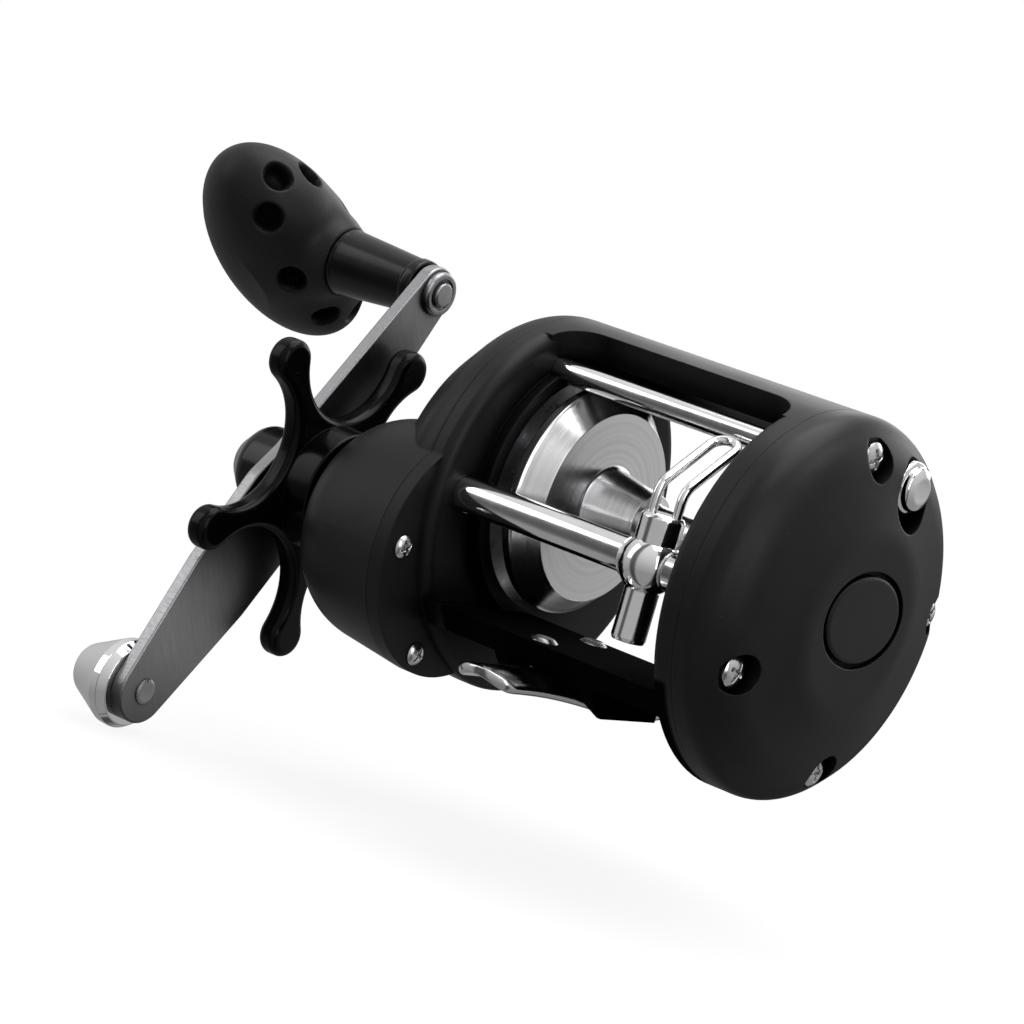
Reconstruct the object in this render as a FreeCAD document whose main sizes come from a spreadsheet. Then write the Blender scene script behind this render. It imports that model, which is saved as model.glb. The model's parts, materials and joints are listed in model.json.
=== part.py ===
import FreeCAD, Part
import Sketcher
import math
import os
import re
from FreeCAD import Placement, Rotation, Vector

# A level-wind trolling reel. X runs along the spool axis (handle at -X, tail plate at +X),
# the line leaves towards -Y and +Z is up. The origin is on the axis of the rod that the foot
# sits on, under the middle of the window between the two side rings.

os.makedirs("parts", exist_ok=True)
doc = FreeCAD.newDocument("trolling_reel")
sheet = doc.addObject("Spreadsheet::Sheet", "sizes")

SIZES = [
    ("axis_height", 42.9, "spool axis above the rod's axis"),
    ("ring_drop", 4.0, "ring centre below the spool axis"),
    ("ring_radius", 38.5, "outer radius of both side rings"),
    ("window_half", 28.0, "half the width of the window between the rings"),
    ("ring_width", 5.0, "thickness of a side ring"),
    ("flange_width", 3.0, "thickness of the gear lobe's flange"),
    ("spool_opening", 24.2, "radius of the openings that the spool flanges turn in"),
    ("lip_radius", 27.2, "outer radius of the lip round the spool opening"),
    ("lip_width", 2.4, "how far the lip stands into the window"),
    ("bar_inner", 32.3, "inner radius of the top bar"),
    ("bar_start", 75.0, "front edge of the top bar, degrees up from the front"),
    ("bar_sweep", 56.0, "sweep of the top bar, degrees"),
    ("base_top", -24.6, "top of the bottom bar, from the spool axis"),
    ("base_thick", 4.9, "thickness of the bottom bar"),
    ("base_front", 34.0, "front edge of the bottom bar"),
    ("base_rear", 4.0, "rear edge of the bottom bar, still in front of the spool axis"),
    ("corner_round", 7.5, "rounding of the window's corners beside the top bar"),
    ("drive_front", 20.66, "drive axis in front of the spool axis"),
    ("drive_drop", 13.72, "drive axis below the spool axis"),
    ("lobe_front", 22.4, "gear lobe centre in front of the spool axis"),
    ("lobe_drop", 16.0, "gear lobe centre below the spool axis"),
    ("lobe_radius", 24.8, "radius of the gear lobe"),
    ("worm_front", 30.752, "worm axis in front of the spool axis"),
    ("worm_drop", 2.894, "worm axis below the spool axis"),
    ("rod_front", 12.2, "guide rod in front of the spool axis"),
    ("rod_rise", 24.3, "guide rod above the spool axis"),
    ("rod_radius", 2.45, "radius of the guide rod"),
    ("tube_radius", 3.55, "outer radius of the level-wind tube"),
    ("tube_bore", 2.85, "inner radius of the level-wind tube"),
    ("worm_radius", 2.6, "outer radius of the worm"),
    ("cover_wall", 2.4, "wall of the two side covers"),
    ("cover_depth", 16.0, "depth of the round part of the gear cover"),
    ("lobe_depth", 27.0, "depth of the gear lobe"),
    ("tail_depth", 15.0, "depth of the tail cover"),
    ("spool_left", -24.0, "outer face of the handle-side flange"),
    ("spool_right", 31.0, "outer face of the tail-side flange"),
    ("spool_radius", 23.4, "radius of the spool flanges"),
    ("arbor_radius", 4.4, "radius of the spool's arbor"),
    ("flange_thick", 4.0, "thickness of a spool flange at its rim"),
    ("shaft_radius", 2.0, "radius of the spool shaft"),
    ("bearing_outer", 5.5, "outer radius of the spool bearings"),
    ("bearing_width", 4.0, "width of the spool bearings"),
    ("ball_radius", 0.95, "radius of a bearing ball"),
    ("running_gap", 0.05, "radial clearance of running fits"),
    ("tooth_size", 0.8, "gear module"),
    ("main_teeth", 50, "teeth of the main gear"),
    ("pinion_teeth", 12, "teeth of the pinion"),
    ("cog_teeth", 25, "teeth of the level-wind drive cog"),
    ("worm_teeth", 12, "teeth of the worm's cog"),
    ("main_plane", -42.4, "outer face of the main gear"),
    ("main_width", 4.0, "width of the main gear"),
    ("cog_plane", -37.6, "outer face of the two level-wind cogs"),
    ("cog_width", 2.0, "width of the two level-wind cogs"),
    ("drive_radius", 4.0, "radius of the drive shaft"),
    ("star_plane", -73.9, "outer face of the star wheel"),
    ("star_thick", 5.0, "thickness of the star wheel"),
    ("star_reach", 31.3, "star axis to the centre of a lobe"),
    ("star_bulb", 4.5, "radius of a star lobe"),
    ("star_hub", 13.5, "radius of the star wheel's hub"),
    ("star_hub_length", 6.4, "how far the hub stands behind the star wheel"),
    ("star_turn", 51.5, "first star lobe, degrees up from the front"),
    ("arm_plane", -79.3, "outer face of the handle arm"),
    ("arm_thick", 3.0, "thickness of the handle arm"),
    ("arm_reach", 50.0, "drive axis to the knob"),
    ("weight_reach", 54.7, "drive axis to the counterweight"),
    ("arm_middle", 9.4, "half the width of the arm at the drive axis"),
    ("arm_belly", 11.0, "half the width of the arm between the drive axis and the counterweight"),
    ("arm_foot", 6.8, "half the width of the arm at the counterweight"),
    ("arm_end", 5.4, "half the width of the arm at the knob"),
    ("arm_turn", 121.6, "direction of the knob, degrees up from the front"),
    ("pivot_radius", 2.6, "radius of the knob spindle"),
    ("stem_length", 22.0, "length of the knob's stem"),
    ("stem_base", 5.9, "radius of the stem at the arm"),
    ("stem_tip", 7.3, "radius of the stem at the knob"),
    ("knob_depth", 16.5, "half the depth of the knob along its spindle"),
    ("knob_long", 26.9, "half the length of the knob across its spindle"),
    ("knob_short", 13.65, "half the width of the knob"),
    ("knob_turn", 35.0, "direction of the knob's long axis, degrees up from the front"),
    ("dimple_radius", 3.4, "radius of the finger dimples"),
    ("weight_radius", 9.2, "radius of the counterweight"),
    ("weight_length", 13.5, "length of the counterweight"),
    ("foot_bore", 11.0, "radius of the rod seat that the foot fits"),
    ("foot_thick", 2.3, "thickness of the foot"),
    ("foot_front", 48.5, "front tip of the foot"),
    ("foot_rear", 36.0, "rear tip of the foot"),
    ("foot_tip", 6.0, "half the width of the foot at its tips"),
    ("foot_waist", 10.9, "half the width of the foot at its middle"),
    ("guide_rest", 18.5, "place of the line guide along the worm"),
    ("guide_ball", 6.1, "radius of the guide's ball"),
    ("guide_post", 3.4, "radius of the guide's post"),
    ("post_down", 15.2, "length of the post below the worm"),
    ("post_up", 9.8, "height of the collar above the worm"),
    ("wire_radius", 1.0, "radius of the guide wire"),
    ("wire_half", 2.9, "half the distance between the wire's legs"),
    ("screw_head", 2.4, "radius of a cover screw's head"),
    ("tail_screw_circle", 31.5, "circle of the tail cover screws"),
    ("cap_long", 12.2, "half the length of the oval tail cap, front to back"),
    ("cap_tall", 8.7, "half the height of the oval tail cap"),
    ("cap_drop", 2.7, "tail cap centre below the spool axis"),
    ("button_circle", 28.8, "distance of the click button from the ring centre"),
    ("button_turn", 109.4, "place of the click button, degrees up from the front"),
    ("button_travel", 3.0, "slide of the click button"),
    ("drag_radius", 14.6, "radius of the drag washers"),
    ("washer_thick", 0.8, "thickness of a drag washer"),
    ("sleeve_radius", 5.2, "radius of the sleeve that presses on the drag washers"),
    ("ratchet_radius", 11.5, "tip radius of the anti-reverse ratchet"),
    ("nut_cap_radius", 8.6, "radius of the handle nut's cap"),
    ("nut_cap_length", 11.5, "length of the handle nut's cap"),
    ("lever_length", 19.0, "length of the free-spool lever"),
]
for row, (alias, value, meaning) in enumerate(SIZES, 1):
    sheet.set(f"A{row}", meaning)
    sheet.set(f"B{row}", str(value))
    sheet.setAlias(f"B{row}", alias)
doc.recompute()
ALIASES = {alias for alias, _, _ in SIZES}
ALONG_X = Rotation(Vector(0, 1, 0), 90)
UPRIGHT = Rotation()
nodes = []

# The axes that run along X, as (y, z) expressions.
SPOOL = ("0", "axis_height")
RING = ("0", "axis_height - ring_drop")
DRIVE = ("-drive_front", "axis_height - drive_drop")
LOBE = ("-lobe_front", "axis_height - lobe_drop")
WORM = ("-worm_front", "axis_height - worm_drop")
ROD = ("-rod_front", "axis_height + rod_rise")
KNOB = ("-drive_front - arm_reach*cos(arm_turn)",
        "axis_height - drive_drop + arm_reach*sin(arm_turn)")
WEIGHT = ("-drive_front + weight_reach*cos(arm_turn)",
          "axis_height - drive_drop - weight_reach*sin(arm_turn)")
CAP = ("0", "axis_height - cap_drop")


def words(text):
    """An expression in the sheet's own words, with the sheet's name before each alias."""
    return re.sub(r"[a-z_]+", lambda w: "sizes." * (w.group() in ALIASES) + w.group(), text)


def size(text):
    return float(sheet.evalExpression(words(text)))


def bind(thing, **sizes):
    for prop, text in sizes.items():
        thing.setExpression(prop, words(text))
    return thing


def place(thing, x, y, z, turn=UPRIGHT):
    thing.Placement = Placement(Vector(0, 0, 0), turn)
    for letter, text in zip("xyz", (x, y, z)):
        thing.setExpression("Placement.Base." + letter, words(text))
    return thing


def node(label, thing):
    thing.Label = label
    nodes.append(thing)
    return thing


def rod(name, radius, start, length, axis=SPOOL):
    """A cylinder along X from the plane start."""
    cylinder = bind(doc.addObject("Part::Cylinder", name), Radius=radius, Height=length)
    return place(cylinder, start, *axis, ALONG_X)


def cone(name, first, second, start, length, axis=SPOOL):
    """A cone along X: radius first at the plane start, second at its far end."""
    shape = bind(doc.addObject("Part::Cone", name), Radius1=first, Radius2=second, Height=length)
    return place(shape, start, *axis, ALONG_X)


def block(name, length, width, height, x, y, z):
    box = bind(doc.addObject("Part::Box", name), Length=length, Width=width, Height=height)
    return place(box, x, y, z)


def ball(name, radius, x, y, z):
    return place(bind(doc.addObject("Part::Sphere", name), Radius=radius), x, y, z)


def fuse(name, *things):
    joined = doc.addObject("Part::MultiFuse", name)
    joined.Shapes = list(things)
    return joined


def cut(name, base, *tools):
    result = doc.addObject("Part::Cut", name)
    result.Base = base
    result.Tool = tools[0] if len(tools) == 1 else fuse(name + "_tools", *tools)
    return result


def common(name, *things):
    result = doc.addObject("Part::MultiCommon", name)
    result.Shapes = list(things)
    return result


def group(name, things):
    result = doc.addObject("Part::Compound", name)
    result.Links = list(things)
    return result


def ring(name, outer, inner, start, length, axis=SPOOL):
    """A washer or bush along X."""
    hole = rod(name + "_hole", inner, f"{start} - 1", f"{length} + 2", axis)
    return cut(name, rod(name + "_blank", outer, start, length, axis), hole)


def around(circle, degrees, centre=RING):
    """The (y, z) expressions of a point on a circle, degrees up from the front."""
    return f"{centre[0]} - ({circle})*cos({degrees})", f"{centre[1]} + ({circle})*sin({degrees})"


def turned(name, start, profile, axis=SPOOL, rounds=(), turn=UPRIGHT):
    """A body of revolution about X. profile lists (distance from start, radius) corners and
    rounds lists (corner, radius) pairs for the fillets."""
    body = doc.addObject("PartDesign::Body", name)
    sketch = body.newObject("Sketcher::SketchObject", name + "_profile")
    plane = next(f for f in body.Origin.OriginFeatures if f.Role == "XY_Plane")
    sketch.AttachmentSupport = [(plane, "")]
    sketch.MapMode = "FlatFace"
    corners = [Vector(size(x), size(radius), 0) for x, radius in profile]
    count = len(corners)
    for i, corner in enumerate(corners):
        sketch.addGeometry(Part.LineSegment(corner, corners[(i + 1) % count]), False)
    for i, (x, radius) in enumerate(profile):
        sketch.addConstraint(Sketcher.Constraint("Coincident", i, 2, (i + 1) % count, 1))
        for kind, text in (("DistanceX", x), ("DistanceY", radius)):
            place_in_sketch(sketch, kind, i, text)
    revolution = body.newObject("PartDesign::Revolution", name + "_turned")
    revolution.Profile = sketch
    revolution.ReferenceAxis = (sketch, ["H_Axis"])
    revolution.Angle = 360
    base = revolution
    for corner, radius in rounds:
        doc.recompute()
        edges = circle_edges(base.Shape, corners[corner])
        fillet = body.newObject("PartDesign::Fillet", f"{name}_round{corner}")
        fillet.Base = (base, edges)
        base = bind(fillet, Radius=radius)
    return place(body, start, *axis, turn)


def place_in_sketch(sketch, kind, corner, text):
    value = size(text)
    if abs(value) < 1e-9:
        axis = {"DistanceX": -2, "DistanceY": -1}[kind]
        sketch.addConstraint(Sketcher.Constraint("PointOnObject", corner, 1, axis))
        return
    index = sketch.addConstraint(Sketcher.Constraint(kind, -1, 1, corner, 1, value))
    sketch.setExpression(f"Constraints[{index}]", words(text))


def circle_edges(shape, corner):
    """Names of the circular edges that a profile corner sweeps."""
    names = []
    for number, edge in enumerate(shape.Edges, 1):
        if not edge.Curve.TypeId.endswith("Circle"):
            continue
        same_plane = abs(edge.Curve.Center.x - corner.x) < 1e-4
        if same_plane and abs(edge.Curve.Radius - corner.y) < 1e-4:
            names.append(f"Edge{number}")
    return names


def coded(name, shape, x, axis, degrees=180):
    """A piece whose outline is worked out in code, at a plane along X. Its own +Y is turned to
    point degrees up from the front."""
    piece = doc.addObject("Part::Feature", name)
    piece.Shape = shape
    return place(piece, x, *axis, Rotation(Vector(1, 0, 0), 180 - degrees))


def prism(points, width):
    """A prism along +X of a closed outline of (y, z) points."""
    corners = [Vector(0, y, z) for y, z in points]
    wire = Part.makePolygon(corners + corners[:1])
    return Part.Face(wire).extrude(Vector(width, 0, 0))


def oval(name, half_long, half_tall, plane, width, axis, edge=0.0):
    """An oval prism along X, long from front to back, its outer rim rounded where edge is given."""
    rim = Part.Ellipse(Vector(0, size(half_long), 0), Vector(0, 0, size(half_tall)), Vector(0, 0, 0))
    shape = Part.Face(Part.Wire(rim.toShape())).extrude(Vector(size(width), 0, 0))
    if edge:
        outer = [side for side in shape.Edges if side.BoundBox.XMin > size(width) - 0.01]
        shape = shape.makeFillet(edge, outer)
    return coded(name, shape, plane, axis)


def gear(name, teeth, plane, width, bore, axis, half_pitch=0.0):
    """A spur gear with involute flanks, first tooth towards the front, turned half_pitch pitches."""
    module = size("tooth_size")
    count = int(size(teeth))
    pitch = module * count / 2
    base = pitch * math.cos(math.radians(20))
    tip = pitch + 0.9 * module
    root = pitch - 1.15 * module
    backlash = 0.05
    half_tooth = math.pi / (2 * count) - backlash / pitch
    involute = lambda radius: math.tan(math.acos(base / radius)) - math.acos(base / radius)
    start = max(base, root)
    flank = [start + (tip - start) * step / 4 for step in range(5)]
    outline = []
    for tooth in range(count):
        centre = 2 * math.pi * (tooth + half_pitch) / count
        half = [(r, half_tooth + involute(pitch) - involute(r)) for r in flank]
        low = (min(root, start - 0.01), half[0][1])
        rising = [(r, centre - spread) for r, spread in [low] + half]
        falling = [(r, centre + spread) for r, spread in reversed([low] + half)]
        outline += rising + falling
    points = [(-r * math.cos(angle), r * math.sin(angle)) for r, angle in outline]
    blank = prism(points, size(width))
    hole = Part.makeCylinder(size(bore), size(width) + 2, Vector(-1, 0, 0), Vector(1, 0, 0))
    return coded(name, blank.cut(hole), plane, axis)


def strap(name, circles, plane, thick, axis, degrees):
    """A flat plate hulled round circles listed along a line as (distance, radius). The line
    starts at axis and points degrees up from the front."""
    solids = []
    for (a, ra), (b, rb) in zip(circles, circles[1:]):
        lean = math.asin((ra - rb) / (b - a))
        near, far = a + ra * math.sin(lean), b + rb * math.sin(lean)
        low, high = ra * math.cos(lean), rb * math.cos(lean)
        solids.append(prism([(near, -low), (far, -high), (far, high), (near, low)], size(thick)))
    for distance, radius in circles:
        solids.append(Part.makeCylinder(radius, size(thick), Vector(0, distance, 0), Vector(1, 0, 0)))
    plate = solids[0].multiFuse(solids[1:]).removeSplitter()
    return coded(name, plate, plane, axis, degrees)


def screw(name, head, x, axis, shank, length, facing=1):
    """A domed screw along X with a cross recess: head radius, the plane under its head, its
    shank radius and length. facing is 1 where the head looks towards +X."""
    turn = UPRIGHT if facing > 0 else Rotation(Vector(0, 0, 1), 180)
    profile = [(f"-{length}", "0"), (f"-{length}", shank), ("0", shank), ("0", head),
               (f"{head}*0.22", head), (f"{head}*0.55", f"{head}*0.62"), (f"{head}*0.6", "0")]
    blank = turned(name + "_blank", x, profile, axis, turn=turn)
    depth = f"{head}*0.35"
    slots = []
    wide, thin = f"{head}*1.2", f"{head}*0.26"
    for index, (width, height) in enumerate(((thin, wide), (wide, thin))):
        low = f"{x} + {facing}*{head}*0.62" + (f" - {depth}" if facing > 0 else "")
        slots.append(block(f"{name}_slot{index}", depth, width, height, low,
                           f"{axis[0]} - {width}/2", f"{axis[1]} - {height}/2"))
    return cut(name, blank, *slots)


def bearing(name, start, outer, inner, width, axis=SPOOL):
    """A ball bearing along X: its outer race, inner race and ring of balls."""
    middle = f"({outer} + {inner})/2"
    centre = f"{start} + {width}/2"
    groove = bind(doc.addObject("Part::Torus", name + "_groove"), Radius1=middle,
                  Radius2="ball_radius + 0.03")
    place(groove, centre, *axis, ALONG_X)
    outer_blank = ring(name + "_outer_blank", outer, f"{middle} + 0.55", start, width, axis)
    inner_blank = ring(name + "_inner_blank", f"{middle} - 0.55", inner, start, width, axis)
    outer_race = cut(name + "_outer", outer_blank, groove)
    inner_race = cut(name + "_inner", inner_blank, groove)
    balls = [ball(f"{name}_ball{index}", "ball_radius", centre, *around(middle, f"{45 * index}", axis))
             for index in range(8)]
    return outer_race, inner_race, group(name + "_balls", balls)


def bearings():
    """The three ball bearings that the spool shaft turns in."""
    left = "-window_half - ring_width"
    places = (("tail_bearing", "window_half + ring_width + 2.4", "bearing_width"),
              ("bridge_bearing", f"{left} - 2", "bearing_width"),
              ("end_bearing", f"{left} - cover_depth + 0.6", "3"))
    sets = [bearing(name, start, "bearing_outer", "shaft_radius", width) for name, start, width in places]
    for label, pieces in zip(("bearing_outer_races", "bearing_inner_races", "bearing_balls"), zip(*sets)):
        node(label, group(label + "_set", pieces))


def frame():
    """Two side rings, the gear lobe's flange, the top bar and the bottom bar, moulded in one."""
    left = "-window_half - ring_width"
    disc = [("0", "0"), ("0", "ring_radius"), ("ring_width", "ring_radius"), ("ring_width", "0")]
    plate = fuse("handle_ring_blank",
                 turned("handle_ring_disc", left, disc, RING, [(2, "2.6")]),
                 rod("lobe_flange", "lobe_radius", left, "flange_width", LOBE),
                 rod("spool_lip", "lip_radius", "-window_half - 1", "1 + lip_width"))
    tail = turned("tail_ring_disc", "window_half", disc, RING, [(1, "1.6")])
    top_bar = rounded_top_bar()
    base = block("bottom_bar", "2*window_half + 2", "base_front - base_rear", "base_thick",
                 "-window_half - 1", "-base_front", "axis_height + base_top - base_thick")
    trim = rod("ring_outline", "ring_radius", "-window_half - 2", "2*window_half + 4", RING)
    saddle = block("saddle_block", "2*foot_waist + 2", "base_front - base_rear", "6",
                   "-foot_waist - 1", "-base_front", "axis_height + base_top - base_thick - 5.9")
    seat = bind(doc.addObject("Part::Cylinder", "saddle_seat"), Radius="foot_bore + foot_thick", Height="140")
    place(seat, "0", "-70", "0", Rotation(Vector(1, 0, 0), -90))
    trimmed = common("bottom_bar_trimmed", fuse("bottom_bar_blank", base, saddle), trim)
    bottom_bar = cut("bottom_bar_seated", trimmed, seat)
    holes = [rod("left_opening", "spool_opening", "-window_half - ring_width - 1",
                 "ring_width + lip_width + 2"),
             rod("right_opening", "spool_opening", "window_half - 1", "ring_width + 2"),
             rod("tube_seat", "tube_radius", "-window_half - ring_width - 1",
                 "2*(window_half + ring_width) + 2", WORM),
             rod("rod_seat", "rod_radius", "-window_half - 3", "2*window_half + 6", ROD)]
    for index, axis in enumerate(cover_screw_spots()):
        holes.append(rod(f"cover_screw_hole{index}", "1.2", left + " - 1", "ring_width + 2", axis))
        if index > 1:
            holes.append(rod(f"cover_screw_seat{index}", "screw_head + 0.5", "-window_half - 2", "4", axis))
    for index, axis in enumerate(tail_screw_spots()):
        holes.append(rod(f"tail_thread{index}", "1.25", "window_half + 1", "ring_width", axis))
    for index, (x, y) in enumerate(foot_screw_spots()):
        hole = bind(doc.addObject("Part::Cylinder", f"foot_hole{index}"), Radius="1.7", Height="base_thick + 4")
        holes.append(place(hole, x, y, "axis_height + base_top - base_thick - 3"))
    node("frame", cut("frame_body", fuse("frame_blank", plate, tail, top_bar, bottom_bar), *holes))


def rounded_top_bar():
    """The curved bar over the spool, widened towards both rings by rounded corners."""
    spread = math.degrees(math.asin(size("corner_round / ring_radius")))
    front, sweep = size("bar_start") - spread, size("bar_sweep") + 2 * spread
    blank = doc.addObject("Part::Cylinder", "top_bar_sector")
    bind(blank, Radius="ring_radius", Height="2*window_half + 5")
    blank.Angle = sweep
    place(blank, "-window_half - 2.5", *RING, Rotation(Vector(1, 0, 0), 270 - front - sweep) * ALONG_X)
    core = rod("top_bar_core", "bar_inner", "-window_half - 4", "2*window_half + 8", RING)
    edges = [window_edge("top_bar_front", front), window_edge("top_bar_rear", front + sweep)]
    return cut("top_bar", blank, core, *edges)


def window_edge(name, degrees):
    """A slot across the window, pointing outwards from the ring centre, with rounded ends."""
    radius, height = size("corner_round"), size("ring_radius + 2")
    reach = size("window_half + 0.3 - corner_round")
    ends = [Part.makeCylinder(radius, height, Vector(x, 0, 0), Vector(0, 1, 0)) for x in (-reach, reach)]
    middle = Part.makeBox(2 * reach, height, 2 * radius, Vector(-reach, 0, -radius))
    return coded(name, ends[0].multiFuse([ends[1], middle]).removeSplitter(), "0", RING, degrees)


def cover_screw_spots():
    """Two screws through the lobe's flange and two through the ring, as (y, z) expressions."""
    return [("-lobe_front - 19.6", "axis_height - lobe_drop + 0.7"),
            ("-lobe_front - 6.4", "axis_height - lobe_drop - 20.3"),
            around("32.6", "178"), around("32.6", "238")]


def tail_screw_spots():
    return [around("tail_screw_circle", degrees) for degrees in ("83", "-23", "-105", "175")]


def foot_screw_spots():
    """The foot's screws, as (x, y) expressions."""
    return [("-2.5", "-27"), ("-3.8", "-9")]


def foot():
    """A saddle bent to the rod's curve, widest in the middle and narrower at both tips."""
    length = "foot_front + foot_rear"
    lying = Rotation(Vector(1, 0, 0), -90)
    tube = bind(doc.addObject("Part::Cylinder", "foot_tube"), Radius="foot_bore + foot_thick", Height=length)
    place(tube, "0", "-foot_front", "0", lying)
    seat = bind(doc.addObject("Part::Cylinder", "foot_seat"), Radius="foot_bore", Height=f"{length} + 2")
    place(seat, "0", "-foot_front - 1", "0", lying)
    tip, waist = size("foot_tip"), size("foot_waist")
    front, rear = size("foot_front"), size("foot_rear")
    side = [(tip - 1.5, -front), (tip, -front + 1.5), (tip + 1.9, -front * 0.72), (tip + 2.6, -front * 0.45),
            (waist, -front * 0.16), (waist, rear * 0.2), (tip + 2.6, rear * 0.5), (tip + 1.2, rear * 0.8),
            (tip, rear - 1.5), (tip - 1.5, rear)]
    outline = [Vector(x, y, 0) for x, y in side] + [Vector(-x, y, 0) for x, y in reversed(side)]
    plan = doc.addObject("Part::Feature", "foot_outline")
    plan.Shape = Part.Face(Part.makePolygon(outline + outline[:1])).extrude(Vector(0, 0, 30))
    holes = []
    for index, (x, y) in enumerate(foot_screw_spots()):
        hole = bind(doc.addObject("Part::Cylinder", f"foot_screw_hole{index}"), Radius="1.7", Height="30")
        holes.append(place(hole, x, y, "0"))
    node("reel_foot", cut("foot_body", common("foot_blank", tube, plan), seat, *holes))


def foot_screws():
    """Pan-head screws down through the bottom bar into the foot."""
    screws = []
    upright = Rotation(Vector(0, 1, 0), -90)
    for index, (x, y) in enumerate(foot_screw_spots()):
        name = f"foot_screw{index}"
        profile = [("0", "0"), ("0", "1.6"), ("base_thick + 1.4", "1.6"), ("base_thick + 1.4", "2.9"),
                   ("base_thick + 1.8", "2.9"), ("base_thick + 2.3", "1.9"), ("base_thick + 2.3", "0")]
        screws.append(turned(name, x, profile, (y, "axis_height + base_top - base_thick - 1.4"), turn=upright))
    node("foot_screws", group("foot_screw_set", screws))


def tail_cover():
    """The domed tail plate, a cup with bosses for its screws, the cap, the bearing and the button."""
    left = "window_half + ring_width"
    outside = turned("tail_dome", left, [("0", "0"), ("0", "ring_radius"), ("5", "ring_radius"),
                                         ("tail_depth - 4.2", "ring_radius - 5.6"),
                                         ("tail_depth", "ring_radius - 21"), ("tail_depth", "0")],
                     RING, [(2, "6"), (3, "12"), (4, "14")])
    inside = turned("tail_hollow", left, [("0", "0"), ("0", "ring_radius - cover_wall"),
                                          ("4", "ring_radius - cover_wall"),
                                          ("tail_depth - 6.6", "ring_radius - 9"),
                                          ("tail_depth - cover_wall", "ring_radius - 22"),
                                          ("tail_depth - cover_wall", "0")], RING, [(2, "3")])
    solid = [rod("tail_hub", "bearing_outer + 2", left + " + 3", "tail_depth"),
             rod("button_pad", "8", left + " + 5.4", "tail_depth", button_spot())]
    for index, axis in enumerate(tail_screw_spots()):
        solid.append(rod(f"tail_boss{index}", "4.9", left + " - 1", "tail_depth + 2", axis))
    room = cut("tail_room", inside, *solid)
    holes = [room,
             rod("tail_bearing_seat", "bearing_outer", left + " + 2", "bearing_width + 1"),
             rod("tail_shaft_room", "shaft_radius + 1", left, "tail_depth + 3"),
             oval("tail_cap_seat", "cap_long + 1.1", "cap_tall + 1", left + " + tail_depth - 1.2", "4", CAP)]
    for index, axis in enumerate(tail_screw_spots()):
        holes.append(rod(f"tail_screw_hole{index}", "1.4", left + " - 1", "tail_depth + 2", axis))
        holes.append(rod(f"tail_recess{index}", "4.1", left + " + 8.2", "tail_depth", axis))
    node("tail_cover", cut("tail_cover_body", outside, *holes, *button_holes(left)))


def button_spot():
    return around("button_circle", "button_turn")


def stadium(name, radius, plane, width, axis, travel, degrees):
    """A slot-shaped prism along X from axis, travel long in a direction, degrees up from the front."""
    r, reach = size(radius), size(travel)
    start = Part.makeCylinder(r, size(width), Vector(0, 0, 0), Vector(1, 0, 0))
    end = Part.makeCylinder(r, size(width), Vector(0, reach, 0), Vector(1, 0, 0))
    middle = Part.makeBox(size(width), reach, 2 * r, Vector(0, 0, -r))
    shape = start.multiFuse([end, middle]).removeSplitter()
    return coded(name, shape, plane, axis, degrees)


def button_heading():
    """Direction from the click button to the spool axis, degrees up from the front."""
    front = size("button_circle*cos(button_turn)")
    rise = size("button_circle*sin(button_turn) - ring_drop")
    return math.degrees(math.atan2(-rise, -front))


def button_holes(left):
    spot, heading = button_spot(), button_heading()
    return [stadium("button_slot", "2.4", left, "tail_depth + 2", spot, "button_travel", heading),
            stadium("button_recess", "5.7", left + " + 9.1", "tail_depth", spot, "button_travel", heading)]


def tail_fittings():
    left = "window_half + ring_width"
    node("tail_cap", oval("tail_cap_body", "cap_long", "cap_tall", left + " + tail_depth - 1.2", "1.5", CAP, 0.4))
    screws = [screw(f"tail_screw{index}", "3.2", left + " + 8.2", axis, "1.25", "11")
              for index, axis in enumerate(tail_screw_spots())]
    node("tail_cover_screws", group("tail_screw_set", screws))
    spot = button_spot()
    node("click_button", turned("click_button_body", left + " + 0.4",
                                [("0", "0"), ("0", "2"), ("9.1", "2"), ("9.1", "5.2"), ("11", "5.2"),
                                 ("11.4", "4.3"), ("12.4", "4.3"), ("13.2", "2.8"), ("13.2", "0")],
                                spot, [(6, "0.7")]))
    node("click_pawl", fuse("click_pawl_body", ring("click_pawl_eye", "3.4", "2", left + " + 0.4", "1.2", spot),
                            pawl_tongue(left)))
    node("click_spring", ring("click_spring_body", "2.8", "2", left + " + 1.8", "2.4", spot))
    node("click_gear", gear("click_gear_body", "main_teeth/2", left + " + 0.4", "1.2", "shaft_radius", SPOOL))


def pawl_tongue(left):
    """The clicker's tongue, from the button to just short of the click gear's travel."""
    front = size("button_circle*cos(button_turn)")
    rise = size("button_circle*sin(button_turn) - ring_drop")
    distance = math.hypot(front, rise)
    tip = size("tooth_size*(main_teeth/4 + 0.9) + button_travel + 0.3")
    reach = distance - tip
    tongue = prism([(3, 1.4), (reach, 0.7), (reach, -0.7), (3, -1.4)], 1.2)
    return coded("click_tongue", tongue, left + " + 0.4", button_spot(), button_heading())


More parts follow.
